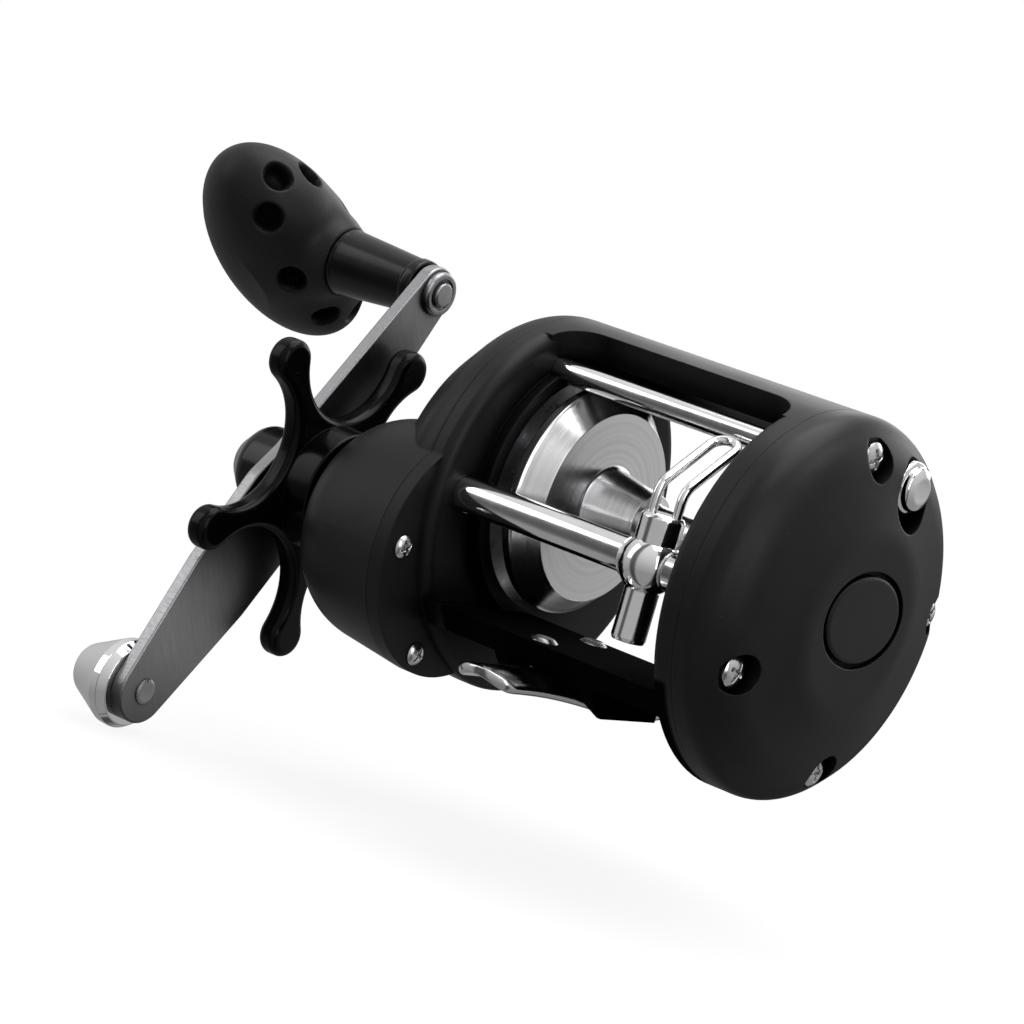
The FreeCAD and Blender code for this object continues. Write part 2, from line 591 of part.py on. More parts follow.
def gear_cover():
    """The handle-side housing: a round shoulder and the gear lobe, hollow, with a sleeve bearing nose."""
    right = "-window_half - ring_width"
    facing = Rotation(Vector(0, 0, 1), 180)
    outside = fuse("gear_cover_outside",
                   turned("shoulder", right, [("0", "0"), ("0", "ring_radius"), ("4", "ring_radius"),
                                              ("cover_depth", "ring_radius - 11"), ("cover_depth", "0")], RING,
                          [(2, "8.5"), (3, "12")], facing),
                   turned("lobe", right, [("0", "0"), ("0", "lobe_radius"), ("lobe_depth", "lobe_radius - 3.4"),
                                          ("lobe_depth", "0")], LOBE, [(2, "14")], facing))
    inside = fuse("gear_cover_inside",
                  turned("shoulder_room", right, [("0", "0"), ("0", "ring_radius - cover_wall"),
                                                  ("3", "ring_radius - cover_wall"),
                                                  ("cover_depth - cover_wall", "ring_radius - 14"),
                                                  ("cover_depth - cover_wall", "0")], RING, [(2, "6")], facing),
                  turned("lobe_room", right, [("0", "0"), ("0", "lobe_radius - cover_wall"),
                                              ("lobe_depth - cover_wall", "lobe_radius - 3.4 - cover_wall"),
                                              ("lobe_depth - cover_wall", "0")], LOBE, [(2, "11")], facing))
    solid = [rod("sleeve_nose", "10", f"{right} - lobe_depth + 0.5", "10.5", DRIVE),
             rod("pinion_nose", "bearing_outer + 2", f"{right} - cover_depth + 1", "3")]
    for index, axis in enumerate(cover_screw_spots()):
        solid.append(rod(f"cover_boss{index}", "3", f"{right} - 4.4", "5.4", axis))
    post_wall, post_pivot = dog_post_spot()
    holes = [cut("gear_cover_room", inside, *solid),
             rod("roller_seat", "8", f"{right} - lobe_depth + 2.6", "10", DRIVE),
             rod("main_gear_room", "tooth_size*(main_teeth/2 + 0.9) + 0.4", "main_plane - 1",
                 f"{right} - (main_plane - 1)", DRIVE),
             rod("dog_post_seat", "1.2", post_wall, "4", post_pivot),
             rod("sleeve_way", "drive_radius + 2", f"{right} - lobe_depth - 1", "6", DRIVE),
             rod("shaft_end_seat", "bearing_outer", f"{right} - cover_depth + 0.6", "6"),
             rod("lever_way", "2.05", f"{right} - cover_depth - 1", "cover_depth", lever_spot())]
    for index, axis in enumerate(cover_screw_spots()):
        holes.append(rod(f"cover_thread{index}", "1.2", f"{right} - 4", "5", axis))
    node("gear_cover", cut("gear_cover_body", outside, *holes))


def lever_spot():
    """The free-spool lever's pivot, on the rear of the shoulder."""
    return "14", "axis_height + 10"


def cover_fittings():
    screws = []
    for index, axis in enumerate(cover_screw_spots()):
        under_head = "-window_half - ring_width + flange_width" if index < 2 else "-window_half - 2"
        screws.append(screw(f"cover_screw{index}", "screw_head", under_head, axis, "1.2", "7"))
    node("gear_cover_screws", group("cover_screw_set", screws))
    right = "-window_half - ring_width"
    plate = fuse("bridge_blank", rod("bridge_disc", "ring_radius - cover_wall - 1", f"{right} - 2", "2", RING),
                 rod("bridge_lobe", "14", f"{right} - 2", "2", DRIVE))
    holes = [rod("bridge_spool_hole", "bearing_outer", f"{right} - 3", "4"),
             rod("bridge_worm_hole", "2.2", f"{right} - 3", "4", WORM),
             rod("bridge_stud_hole", "2", f"{right} - 3", "4", DRIVE)]
    holes += [rod(f"bridge_notch{index}", "3.2", f"{right} - 3", "4", axis)
              for index, axis in enumerate(cover_screw_spots())]
    node("bridge_plate", cut("bridge_body", plate, *holes))
    node("gear_stud", rod("gear_stud_body", "2", f"{right} - 30", "30", DRIVE))


def spool():
    """A spool with dished flanges turned in one piece with its arbor, bored for the shaft."""
    length = "spool_right - spool_left"
    profile = [("0", "shaft_radius"), ("0", "7"), ("flange_thick - 2.4", "9"), ("0.6", "spool_radius - 2"),
               ("0.6", "spool_radius"), ("2.6", "spool_radius"), ("2.9", "spool_radius - 0.4"),
               ("flange_thick + 3.2", "spool_radius - 4"), ("flange_thick + 3.6", "8.4"),
               ("flange_thick + 15", "6.2"), ("flange_thick + 15.4", "arbor_radius")]
    right = [(f"{length} - ({x})", radius) for x, radius in reversed(profile)]
    body = turned("spool_body", "spool_left", profile + right)
    node("spool", body)
    length = "2*window_half + 2*ring_width + cover_depth + 7"
    node("spool_shaft", turned("spool_shaft_body", "-window_half - ring_width - cover_depth + 0.8",
                               [("0", "0"), ("0", "1.6"), ("0.5", "shaft_radius"),
                                (f"{length} - 0.5", "shaft_radius"), (length, "1.6"), (length, "0")]))


def gear_train():
    mesh = math.degrees(math.atan2(size("drive_drop"), size("drive_front")))
    mesh_turn = -mesh * size("main_teeth") / 360
    bore = "shaft_radius + running_gap"
    inner_face = "main_plane + main_width"
    teeth = gear("main_gear_teeth", "main_teeth", "main_plane", "main_width", "drive_radius", DRIVE,
                 mesh_turn + size("main_teeth")/2)
    node("main_gear", cut("main_gear_body", teeth, rod("drag_recess", "15", "main_plane - 1", "2.6", DRIVE)))
    pinion = gear("pinion_teeth_body", "pinion_teeth", "main_plane - 0.4", "main_width + 1", bore, SPOOL,
                  mesh_phase("pinion_teeth", -mesh))
    node("pinion_gear", fuse("pinion_body", pinion,
                             ring("pinion_neck", "3.3", bore, inner_face + " + 0.5", "2"),
                             ring("pinion_flange", "5", bore, inner_face + " + 1.9", "0.8")))
    worm_mesh = math.degrees(math.atan2(size("drive_drop - worm_drop"), size("worm_front - drive_front")))
    node("level_wind_cog", gear("level_wind_cog_body", "cog_teeth", "cog_plane", "cog_width",
                                "drive_radius", DRIVE, worm_mesh * size("cog_teeth") / 360))
    node("worm_cog", gear("worm_cog_body", "worm_teeth", "cog_plane", "cog_width", "1.5", WORM,
                          mesh_phase("worm_teeth", worm_mesh + 180)))


def mesh_phase(teeth, degrees):
    """Turn, in pitches, that puts a tooth space of a gear in the given direction."""
    return degrees * size(teeth) / 360 + 0.5


def drive_shaft():
    """The hollow shaft on the stud, its drag stack, ratchet, sleeve and one-way bearing."""
    inner_end = "-window_half - ring_width - 2.5"
    length = f"{inner_end} - arm_plane + 6"
    bore = "2 + running_gap"
    node("drive_shaft", turned("drive_shaft_body", "arm_plane - 6",
                               [("0", "0"), ("0", "3.2"), ("6", "3.2"), ("6", "drive_radius"),
                                (length, "drive_radius"), (length, bore), ("20", bore), ("20", "0")], DRIVE))
    inner = "drive_radius"
    recess = "main_plane + 1.6"
    fibre = [ring(f"fibre{i}", "drag_radius", inner,
                  f"{recess} - {2 * i + 1}*washer_thick", "washer_thick", DRIVE) for i in range(3)]
    node("fibre_drag_washers", group("fibre_set", fibre))
    metal = [ring(f"metal{i}", "drag_radius - 0.2", inner,
                  f"{recess} - {2 * i + 2}*washer_thick", "washer_thick", DRIVE) for i in range(3)]
    node("metal_drag_washers", group("metal_set", metal))
    stack = f"{recess} - 6*washer_thick"
    sleeve_end = "star_plane + star_thick + 1.4"
    node("drag_sleeve", ring("drag_sleeve_body", "sleeve_radius", inner, sleeve_end,
                             f"{stack} - ({sleeve_end})", DRIVE))
    node("ratchet_wheel", ratchet(f"{stack} - 1.6", 14))
    nose = "-window_half - ring_width - lobe_depth + 2.6"
    node("one_way_bearing_shell", ring("one_way_shell", "8", "7", nose, "8", DRIVE))
    rollers = [rod(f"roller{index}", "0.8", f"{nose} + 0.6", "6.8",
                   around("sleeve_radius + 0.9", f"{45 * index}", DRIVE)) for index in range(8)]
    node("one_way_rollers", group("roller_set", rollers))


def ratchet(plane, teeth):
    """A saw-toothed wheel round the drag sleeve."""
    tip = size("ratchet_radius")
    outline = []
    for tooth in range(teeth):
        start = 2 * math.pi * tooth / teeth
        end = 2 * math.pi * (tooth + 0.98) / teeth
        outline.append((tip * math.cos(start), tip * math.sin(start)))
        outline.append(((tip - 2) * math.cos(end), (tip - 2) * math.sin(end)))
    bore = Part.makeCylinder(size("sleeve_radius"), 4, Vector(-1, 0, 0), Vector(1, 0, 0))
    return coded("ratchet_body", prism(outline, 1.2).cut(bore), plane, DRIVE)


def dog_post_spot():
    """The plane that the dog's post starts from, inside the housing's end wall, and its axis."""
    wall = "-window_half - ring_width - lobe_depth + 3.6"
    return wall, around("17", "-70", DRIVE)


def dog():
    """The sprung dog that drops on the ratchet, and the post it pivots on."""
    wall, pivot = dog_post_spot()
    plane = "main_plane + 1.6 - 6*washer_thick - 1.6"
    post_angle, tip_angle = math.radians(-70), math.radians(-110)
    front = 12.5 * math.cos(tip_angle) - 17 * math.cos(post_angle)
    rise = 12.5 * math.sin(tip_angle) - 17 * math.sin(post_angle)
    reach, heading = math.hypot(front, rise), math.degrees(math.atan2(rise, front))
    arm = strap("dog_arm", [(0, 2.6), (reach, 0.5)], plane, "1.2", pivot, heading)
    eye = rod("dog_eye", "1.2 + running_gap", f"{plane} - 1", "4", pivot)
    node("anti_reverse_dog", cut("dog_body", arm, eye))
    node("dog_post", rod("dog_post_body", "1.2", wall, f"{plane} + 1.8 - ({wall})", pivot))
    node("dog_spring", ring("dog_spring_body", "2.1", "1.3", f"{plane} - 2.4", "2", pivot))


def star_wheel():
    """The five-armed drag star: a disc with five bites taken out, a bulb on each arm, a hub and a nut."""
    bite_circle = "28.5"
    bite = f"({bite_circle}*sin(36) - 2.4)"
    disc = rod("star_disc", "star_reach - 2.8", "star_plane", "star_thick", DRIVE)
    bites = [rod(f"star_bite{i}", bite, "star_plane - 1", "star_thick + 2",
                 around(bite_circle, f"(star_turn + 36 + {72 * i})", DRIVE)) for i in range(5)]
    bulbs = [rod(f"star_bulb{i}", "star_bulb", "star_plane", "star_thick",
                 around("star_reach", f"(star_turn + {72 * i})", DRIVE)) for i in range(5)]
    hub = rod("star_hub_disc", "star_hub", "star_plane + star_thick", "star_hub_length", DRIVE)
    hexagon = hex_prism("star_nut_body", "6.5", "star_plane + 0.6", "star_thick + 0.2", DRIVE)
    room = hex_prism("star_nut_room", "6.5", "star_plane + 0.6", "star_thick + star_hub_length + 1", DRIVE)
    way = rod("star_shaft_way", "drive_radius + 1", "star_plane - 1", "4", DRIVE)
    blank = fuse("star_blank", cut("star_arms", disc, *bites), *bulbs, hub)
    node("star_wheel", cut("star_body", blank, room, way))
    node("star_nut", cut("star_nut_cut", hexagon,
                         rod("star_nut_bore", "drive_radius + running_gap", "star_plane - 1", "9", DRIVE)))
    node("spring_washers", ring("spring_washer_body", "7", "drive_radius + running_gap",
                                "star_plane - 2.2", "1.8", DRIVE))


def hex_prism(name, radius, plane, width, axis):
    r = size(radius)
    points = [(r * math.cos(math.radians(60 * i)), r * math.sin(math.radians(60 * i))) for i in range(6)]
    return coded(name, prism(points, size(width)), plane, axis)


def handle():
    """The crank arm with its nut, cap, knob and counterweight."""
    outline = [("-weight_reach", "arm_foot"), ("-weight_reach/2", "arm_belly - 0.6"), ("-8", "arm_belly"),
               ("0", "arm_middle"), ("arm_reach", "arm_end")]
    circles = [(size(distance), size(radius)) for distance, radius in outline]
    arm = strap("arm_blank", circles, "arm_plane", "arm_thick", DRIVE, size("arm_turn"))
    holes = [rod("arm_shaft_hole", "drive_radius", "arm_plane - 1", "arm_thick + 2", DRIVE),
             rod("arm_knob_hole", "pivot_radius", "arm_plane - 1", "arm_thick + 2", KNOB),
             rod("arm_weight_hole", "pivot_radius", "arm_plane - 1", "arm_thick + 2", WEIGHT)]
    node("handle_arm", cut("arm_body", arm, *holes))
    node("handle_nut", cut("handle_nut_body", hex_prism("handle_hex", "6", "arm_plane - 5", "5", DRIVE),
                           rod("handle_nut_bore", "3.2", "arm_plane - 6", "7", DRIVE)))
    facing = Rotation(Vector(0, 0, 1), 180)
    cap = "nut_cap_radius"
    node("nut_cap", turned("nut_cap_body", "arm_plane",
                           [("0", f"{cap} - 1.4"), ("0", cap), ("nut_cap_length - 4.5", cap),
                            ("nut_cap_length", f"{cap} - 4"), ("nut_cap_length", "0"),
                            ("nut_cap_length - 2", "0"),
                            ("nut_cap_length - 2", "4"), ("nut_cap_length - 5", f"{cap} - 1.4")],
                           DRIVE, [(2, "4"), (3, "2.5")], facing))
    knob_end = "arm_plane - stem_length - 18.5"
    node("knob_washer", ring("knob_washer_body", "4.7", "pivot_radius", "arm_plane + arm_thick", "1.5", KNOB))
    head = f"arm_plane + arm_thick + 2.2 - ({knob_end})"
    node("knob_spindle", turned("knob_spindle_body", knob_end,
                                [("0", "0"), ("0", "pivot_radius"), (f"{head} - 0.3", "pivot_radius"),
                                 (head, "pivot_radius - 0.4"), (head, "0")], KNOB))
    bore = "pivot_radius + running_gap"
    node("knob_stem", turned("knob_stem_body", "arm_plane - 0.4",
                             [("0", bore), ("0", "stem_base"), ("stem_length - 0.4", "stem_tip"),
                              ("stem_length - 0.4", bore)], KNOB, [], facing))
    node("knob", knob(knob_end, bore))
    weight = "weight_radius"
    node("counterweight", turned("counterweight_body", "arm_plane",
                                 [("0", "pivot_radius"), ("0", f"{weight} - 1.2"), ("2", weight),
                                  ("7.5", f"{weight} - 1.2"), ("weight_length", f"{weight} - 5.4"),
                                  ("weight_length", "0"), ("2", "0"), ("2", "pivot_radius")],
                                 WEIGHT, [(3, "5"), (4, "3")], facing))
    node("weight_rivet", turned("weight_rivet_body", "arm_plane - 2",
                                [("0", "0"), ("0", "pivot_radius"), ("arm_thick + 2.3", "pivot_radius"),
                                 ("arm_thick + 2.6", "pivot_radius - 0.5"), ("arm_thick + 2.6", "0")], WEIGHT))


def knob(centre, bore):
    """A crosswise oval grip with a flared neck and a ring of finger dimples on each side."""
    across = Rotation(Vector(1, 0, 0), -(90 + size("knob_turn")))
    oval = bind(doc.addObject("Part::Ellipsoid", "knob_oval"), Radius1="knob_depth", Radius2="knob_long",
                Radius3="knob_short")
    place(oval, centre, *KNOB, across * ALONG_X)
    neck_end = "arm_plane - stem_length"
    neck = cone("knob_neck", "12.2", "stem_tip + 0.3", f"{neck_end} - 10.5", "10.5", KNOB)
    dimples = []
    for side in (1, -1):
        for index in range(8):
            base = math.radians(45 * index - 4)
            turn = base + math.radians(2 + 7 * math.cos(base - math.radians(235)))
            polar = math.radians(51 + 7 * math.cos(turn + math.radians(20)))
            if side < 0:
                polar *= 0.7
            reach = f"{math.sin(polar) * math.cos(turn):.4f}*knob_long"
            width = f"{math.sin(polar) * math.sin(turn):.4f}*knob_short"
            y = f"{KNOB[0]} - ({reach}*cos(knob_turn) - {width}*sin(knob_turn))"
            z = f"{KNOB[1]} + {reach}*sin(knob_turn) + {width}*cos(knob_turn)"
            depth = f"{side * math.cos(polar):.4f}*knob_depth"
            dimples.append(ball(f"dimple{side + 1}{index}", "dimple_radius", f"{centre} + {depth}", y, z))
    hole = rod("knob_bore", bore, centre, "60", KNOB)
    return cut("knob_body", fuse("knob_blank", oval, neck), hole, *dimples)


def level_wind():
    """The slotted tube, the worm inside it, its bushes and the guide rod above."""
    end = "window_half + 3"
    tube = ring("tube_blank", "tube_radius", "tube_bore", f"-({end})", f"2*({end})", WORM)
    slot = block("tube_slot", "2*window_half - 4", "2.7", "4",
                 "-window_half + 2", f"{WORM[0]} - 1.35", f"{WORM[1]} - 5.4")
    node("level_wind_tube", cut("tube_body", tube, slot))
    bushes = [ring(f"worm_bush{index}", "tube_bore", "1.5 + running_gap", start, "2.7", WORM)
              for index, start in enumerate((f"-({end})", f"{end} - 2.7"))]
    node("worm_bushes", group("worm_bush_set", bushes))
    length = f"{end} - 0.5 - cog_plane"
    node("worm_shaft", turned("worm_shaft_body", "cog_plane",
                              [("0", "0"), ("0", "1.5"), ("-cog_plane - window_half + 0.1", "1.5"),
                               ("-cog_plane - window_half + 0.1", "worm_radius"),
                               ("-cog_plane + window_half - 0.1", "worm_radius"),
                               ("-cog_plane + window_half - 0.1", "1.5"), (length, "1.5"), (length, "0")], WORM))
    node("upper_guide_rod", rod("guide_rod_body", "rod_radius", f"-({end})", f"2*({end})", ROD))


def line_guide():
    """The block that runs on the tube, its pawl and cap, and the wire loop that the line passes through."""
    y, z = WORM
    post = bind(doc.addObject("Part::Cylinder", "guide_post_body"), Radius="guide_post", Height="post_down")
    place(post, "guide_rest", y, f"{z} - post_down")
    collar = bind(doc.addObject("Part::Cylinder", "guide_collar"), Radius="guide_post + 1.1", Height="post_up")
    place(collar, "guide_rest", y, z)
    trimmed = common("guide_ball_trim", ball("guide_ball_body", "guide_ball", "guide_rest", y, z),
                     rod("guide_ball_width", "guide_ball + 1", "guide_rest - 5.2", "10.4", WORM))
    way = rod("guide_tube_way", "tube_radius + 2*running_gap", "guide_rest - 9", "18", WORM)
    pawl_way = bind(doc.addObject("Part::Cylinder", "pawl_way"), Radius="1.25", Height="post_down")
    place(pawl_way, "guide_rest", y, f"{z} - post_down")
    cap_way = bind(doc.addObject("Part::Cylinder", "cap_way"), Radius="2.5", Height="3")
    place(cap_way, "guide_rest", y, f"{z} - post_down")
    wires = [place(bind(doc.addObject("Part::Cylinder", f"wire_seat{i}"), Radius="wire_radius", Height="6"),
                   f"guide_rest + {side}*wire_half", y, f"{z} + post_up - 3") for i, side in enumerate((-1, 1))]
    blank = fuse("guide_blank", post, collar, trimmed)
    node("guide_block", cut("guide_body", blank, way, pawl_way, cap_way, *wires))
    pawl = bind(doc.addObject("Part::Cylinder", "pawl_body"), Radius="1.2",
                Height="post_down - 3 - worm_radius - 0.1")
    node("guide_pawl", place(pawl, "guide_rest", y, f"{z} - post_down + 3"))
    cap = bind(doc.addObject("Part::Cylinder", "pawl_cap_body"), Radius="2.5", Height="3")
    node("pawl_cap", place(cap, "guide_rest", y, f"{z} - post_down"))
    loop = doc.addObject("Part::Feature", "wire_loop")
    loop.Shape = wire_loop()
    node("line_guide", place(loop, "guide_rest", y, f"{z} + post_up"))


def wire_loop():
    """Two legs that rise from the collar, lean back towards the guide rod and close in a half round."""
    half, radius = size("wire_half"), size("wire_radius")
    rise, bend = 5.2, 4.0
    back = size("worm_front - rod_front - rod_radius - wire_radius - 0.6")
    top = size("rod_rise + worm_drop - post_up") - 1.6
    lean = math.atan2(back, top - rise)
    tangent = bend * math.tan(lean / 2)
    slope = Vector(0, math.sin(lean), math.cos(lean))
    corner, high = Vector(0, 0, rise), Vector(0, back, top)
    end = high - slope * half
    low = corner - Vector(0, 0, tangent)
    after = corner + slope * tangent
    centre = Vector(0, bend, rise - tangent)
    middle = centre + Vector(0, -math.cos(lean / 2), math.sin(lean / 2)) * bend

    def at(side, point):
        return Vector(side * half, point.y, point.z)

    foot_point = Vector(0, 0, -3)
    edges = [Part.LineSegment(at(-1, foot_point), at(-1, low)),
             Part.Arc(at(-1, low), at(-1, middle), at(-1, after)),
             Part.LineSegment(at(-1, after), at(-1, end)),
             Part.Arc(at(-1, end), end + slope * half, at(1, end)),
             Part.LineSegment(at(1, end), at(1, after)),
             Part.Arc(at(1, after), at(1, middle), at(1, low)),
             Part.LineSegment(at(1, low), at(1, foot_point))]
    path = Part.Wire([edge.toShape() for edge in edges])
    section = Part.Wire([Part.Circle(at(-1, foot_point), Vector(0, 0, 1), radius).toShape()])
    return path.makePipeShell([section], True, True)


def clutch():
    """The free-spool lever with its shaft and cam, and the sprung yoke that holds the pinion."""
    right = "-window_half - ring_width"
    outer = f"{right} - cover_depth"
    spot = lever_spot()
    blade = strap("lever_blade", [(0, 5), (size("lever_length"), 3.5)], f"{outer} - 3.1", "2.5", spot, 200)
    pad = coded("lever_pad", Part.makeCylinder(3.5, 4, Vector(-4, 0, 0), Vector(1, 0, 0)), f"{outer} - 3.1",
                around("lever_length", "200", spot))
    node("clutch_lever", cut("lever_body", fuse("lever_blank", blade, pad),
                             rod("lever_bore", "2", f"{outer} - 4", "5", spot)))
    node("clutch_shaft", turned("clutch_shaft_body", f"{outer} - 3.6",
                                [("0", "0"), ("0", "1.4"), ("0.5", "2"), (f"cover_depth + 3.6 - 2.3", "2"),
                                 ("cover_depth + 3.6 - 2.3", "0")], spot))
    cam = strap("cam_arm", [(0, 3.4), (9.2, 1.8)], f"{right} - 3.4", "1.1", spot, -49.4)
    node("clutch_cam", cut("cam_body", cam, rod("cam_bore", "2", f"{right} - 5", "4", spot)))
    yoke = block("yoke_blank", "0.9", "9", "26", f"{right} - 4.6", "0", "axis_height - 13")
    posts = [("5", f"axis_height + {side * 10}") for side in (1, -1)]
    ways = [rod(f"yoke_way{i}", "1.2 + running_gap", f"{right} - 6", "4", post) for i, post in enumerate(posts)]
    neck = rod("yoke_neck", "3.3 + running_gap", f"{right} - 6", "4")
    node("clutch_yoke", cut("yoke_body", yoke, neck, *ways))
    pins, springs = [], []
    for i, post in enumerate(posts):
        pins.append(rod(f"yoke_post{i}", "1.2", f"{right} - 10.5", "8.5", post))
        springs.append(ring(f"yoke_spring{i}", "2.1", "1.4", f"{right} - 10.4", "3.6", post))
    node("yoke_posts", group("yoke_post_set", pins))
    node("yoke_springs", group("yoke_spring_set", springs))


for make in (frame, foot, foot_screws, tail_cover, tail_fittings, gear_cover, cover_fittings, spool,
             bearings, gear_train, drive_shaft, dog, star_wheel, handle, level_wind, line_guide, clutch):
    make()


def export():
    doc.recompute()
    for thing in doc.Objects:
        if {"Invalid", "Error"} & set(thing.State):
            raise SystemExit(f"{thing.Name} failed: {thing.State}")
    for piece in nodes:
        shape = piece.Shape
        if shape.isNull() or not shape.isValid() or not shape.Solids:
            raise SystemExit(f"{piece.Label} has no valid shape")
        shape.exportStep(f"parts/{piece.Label}.step")
        print(f"{piece.Label}: {len(shape.Solids)} solid(s), {shape.Volume:.1f} mm3")


export()
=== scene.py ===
import json
import math

import bmesh
import bpy
from mathutils import Matrix, Vector


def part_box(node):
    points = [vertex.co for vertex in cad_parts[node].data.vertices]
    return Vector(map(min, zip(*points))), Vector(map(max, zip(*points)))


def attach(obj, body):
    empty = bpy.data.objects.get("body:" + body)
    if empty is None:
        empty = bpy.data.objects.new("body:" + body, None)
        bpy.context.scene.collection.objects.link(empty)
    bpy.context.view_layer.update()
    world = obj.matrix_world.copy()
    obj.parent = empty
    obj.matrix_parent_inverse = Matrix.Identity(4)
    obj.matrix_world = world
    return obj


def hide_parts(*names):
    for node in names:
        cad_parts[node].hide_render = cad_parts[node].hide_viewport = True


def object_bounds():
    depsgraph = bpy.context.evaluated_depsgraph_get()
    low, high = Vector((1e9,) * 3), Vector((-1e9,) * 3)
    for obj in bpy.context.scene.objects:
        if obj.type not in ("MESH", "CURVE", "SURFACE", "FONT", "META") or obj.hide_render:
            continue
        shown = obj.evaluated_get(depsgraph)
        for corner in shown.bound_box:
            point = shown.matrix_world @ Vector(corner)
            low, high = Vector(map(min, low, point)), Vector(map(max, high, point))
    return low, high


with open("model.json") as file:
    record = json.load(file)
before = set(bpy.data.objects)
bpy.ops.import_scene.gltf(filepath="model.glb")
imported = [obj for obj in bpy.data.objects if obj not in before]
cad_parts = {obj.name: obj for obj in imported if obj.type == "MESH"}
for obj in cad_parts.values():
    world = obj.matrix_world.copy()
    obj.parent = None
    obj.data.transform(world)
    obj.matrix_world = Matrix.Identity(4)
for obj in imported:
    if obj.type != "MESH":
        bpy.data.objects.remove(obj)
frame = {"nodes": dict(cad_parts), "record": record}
cad_low, cad_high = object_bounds()
NODES = frame["nodes"]
BODY_OF = {n: body for body, members in frame["record"]["behaviour"]["bodies"].items() for n in members}
SLOT_OF = {part["node"]: part["material_slot"] for part in frame["record"]["subparts"]}
MM = 0.001


# ---------------------------------------------------------------- places, in millimetres

def low(node):
    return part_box(node)[0] / MM


def high(node):
    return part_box(node)[1] / MM


def axis_of(node):
    """The (y, z) centre of a node, for the nodes that are round about an axis along X."""
    centre = (low(node) + high(node)) / 2
    return centre.y, centre.z


SPOOL = axis_of("spool")
RING = axis_of("tail_cover")
DRIVE = axis_of("main_gear")
WORM = axis_of("level_wind_tube")
ROD = axis_of("upper_guide_rod")
KNOB = axis_of("knob_stem")
WEIGHT = axis_of("counterweight")
BUTTON = axis_of("click_button")
CAP = axis_of("tail_cap")
LEFT_SEAM = high("gear_cover").x
RIGHT_SEAM = low("tail_cover").x
BAR_TOP = high("foot_screws").z + 1
WINDOW_MIDDLE = (low("spool") + high("spool")).x / 2
WINDOW_HALF = (high("spool") - low("spool")).x / 2
ARM_PLANE = low("handle_arm").x
ARM_FACE = high("handle_arm").x
ARM_TURN = math.atan2(KNOB[1] - DRIVE[1], DRIVE[0] - KNOB[0])


def at_x(start, axis, facing=1):
    """A placement whose own X runs along the reel's X from a plane, round an axis."""
    return Matrix.Translation((start, *axis)) @ Matrix.Rotation(0 if facing > 0 else math.pi, 4, "Z")


def at_z(x, y, z):
    """A placement whose own X points up."""
    return Matrix.Translation((x, y, z)) @ Matrix.Rotation(-math.pi / 2, 4, "Y")


def heading(start, axis, angle):
    """A placement whose own Y points angle up from the front, in a plane across X."""
    return Matrix.Translation((start, *axis)) @ Matrix.Rotation(math.pi - angle, 4, "X")


# ---------------------------------------------------------------- mesh helpers

def vertex(bm, place, x, y, z):
    return bm.verts.new((place @ Vector((x, y, z))) * MM)


def bridge(bm, first, second):
    """Faces between two closed loops of vertices. Either loop may be a single point."""
    count = max(len(first), len(second))
    for i in range(count):
        j = (i + 1) % count
        corners = [first[i % len(first)], first[j % len(first)]]
        corners += [second[j % len(second)], second[i % len(second)]]
        corners = list(dict.fromkeys(corners))
        if len(corners) > 2:
            bm.faces.new(corners)


def rounded(outline, closed=False, steps=6):
    """An outline of (x, y) or (x, y, radius) corners with the corners that give a radius rounded."""
    points = []
    count = len(outline)
    for i, corner in enumerate(outline):
        here = Vector(corner[:2])
        radius = corner[2] if len(corner) > 2 else 0
        if not radius or (not closed and i in (0, count - 1)):
            points.append(here)
            continue
        back = Vector(outline[i - 1][:2]) - here
        on = Vector(outline[(i + 1) % count][:2]) - here
        half = back.angle(on) / 2
        reach = min(radius / math.tan(half), 0.48 * back.length, 0.48 * on.length)
        radius = reach * math.tan(half)
        centre = here + (back.normalized() + on.normalized()).normalized() * (radius / math.sin(half))
        start = here + back.normalized() * reach - centre
        end = here + on.normalized() * reach - centre
        turn = start.angle_signed(end)
        for step in range(steps + 1):
            points.append(centre + Matrix.Rotation(-turn * step / steps, 2) @ start)
    return points


def lathe(bm, outline, place, ring=128, closed=False, steps=6):
    """A body of revolution about the placement's X. The outline lists (x, radius, rounding)."""
    loops = []
    for x, radius in rounded(outline, closed, steps):
        if radius < 1e-5:
            loops.append([vertex(bm, place, x, 0, 0)])
            continue
        angles = [2 * math.pi * i / ring for i in range(ring)]
        loops.append([vertex(bm, place, x, radius * math.cos(a), radius * math.sin(a)) for a in angles])
    for first, second in zip(loops, loops[1:] + (loops[:1] if closed else [])):
        bridge(bm, first, second)


def slab(bm, outline_at, place, thick, edge, steps):
    """A flat piece along the placement's X with rounded rims. outline_at(inset) gives the (y, z)
    points of the outline moved inwards by inset."""
    levels = []
    for step in range(steps + 1):
        turn = math.pi / 2 * step / steps
        levels.append((edge * (1 - math.sin(turn)), edge * (1 - math.cos(turn))))
    for step in range(steps + 1):
        turn = math.pi / 2 * step / steps
        levels.append((edge * (1 - math.cos(turn)), thick - edge * (1 - math.sin(turn))))
    loops = []
    for inset, x in levels:
        loops.append([vertex(bm, place, x, y, z) for y, z in outline_at(inset)])
    for first, second in zip(loops, loops[1:]):
        bridge(bm, first, second)
    bm.faces.new(loops[0])
    bm.faces.new(loops[-1])


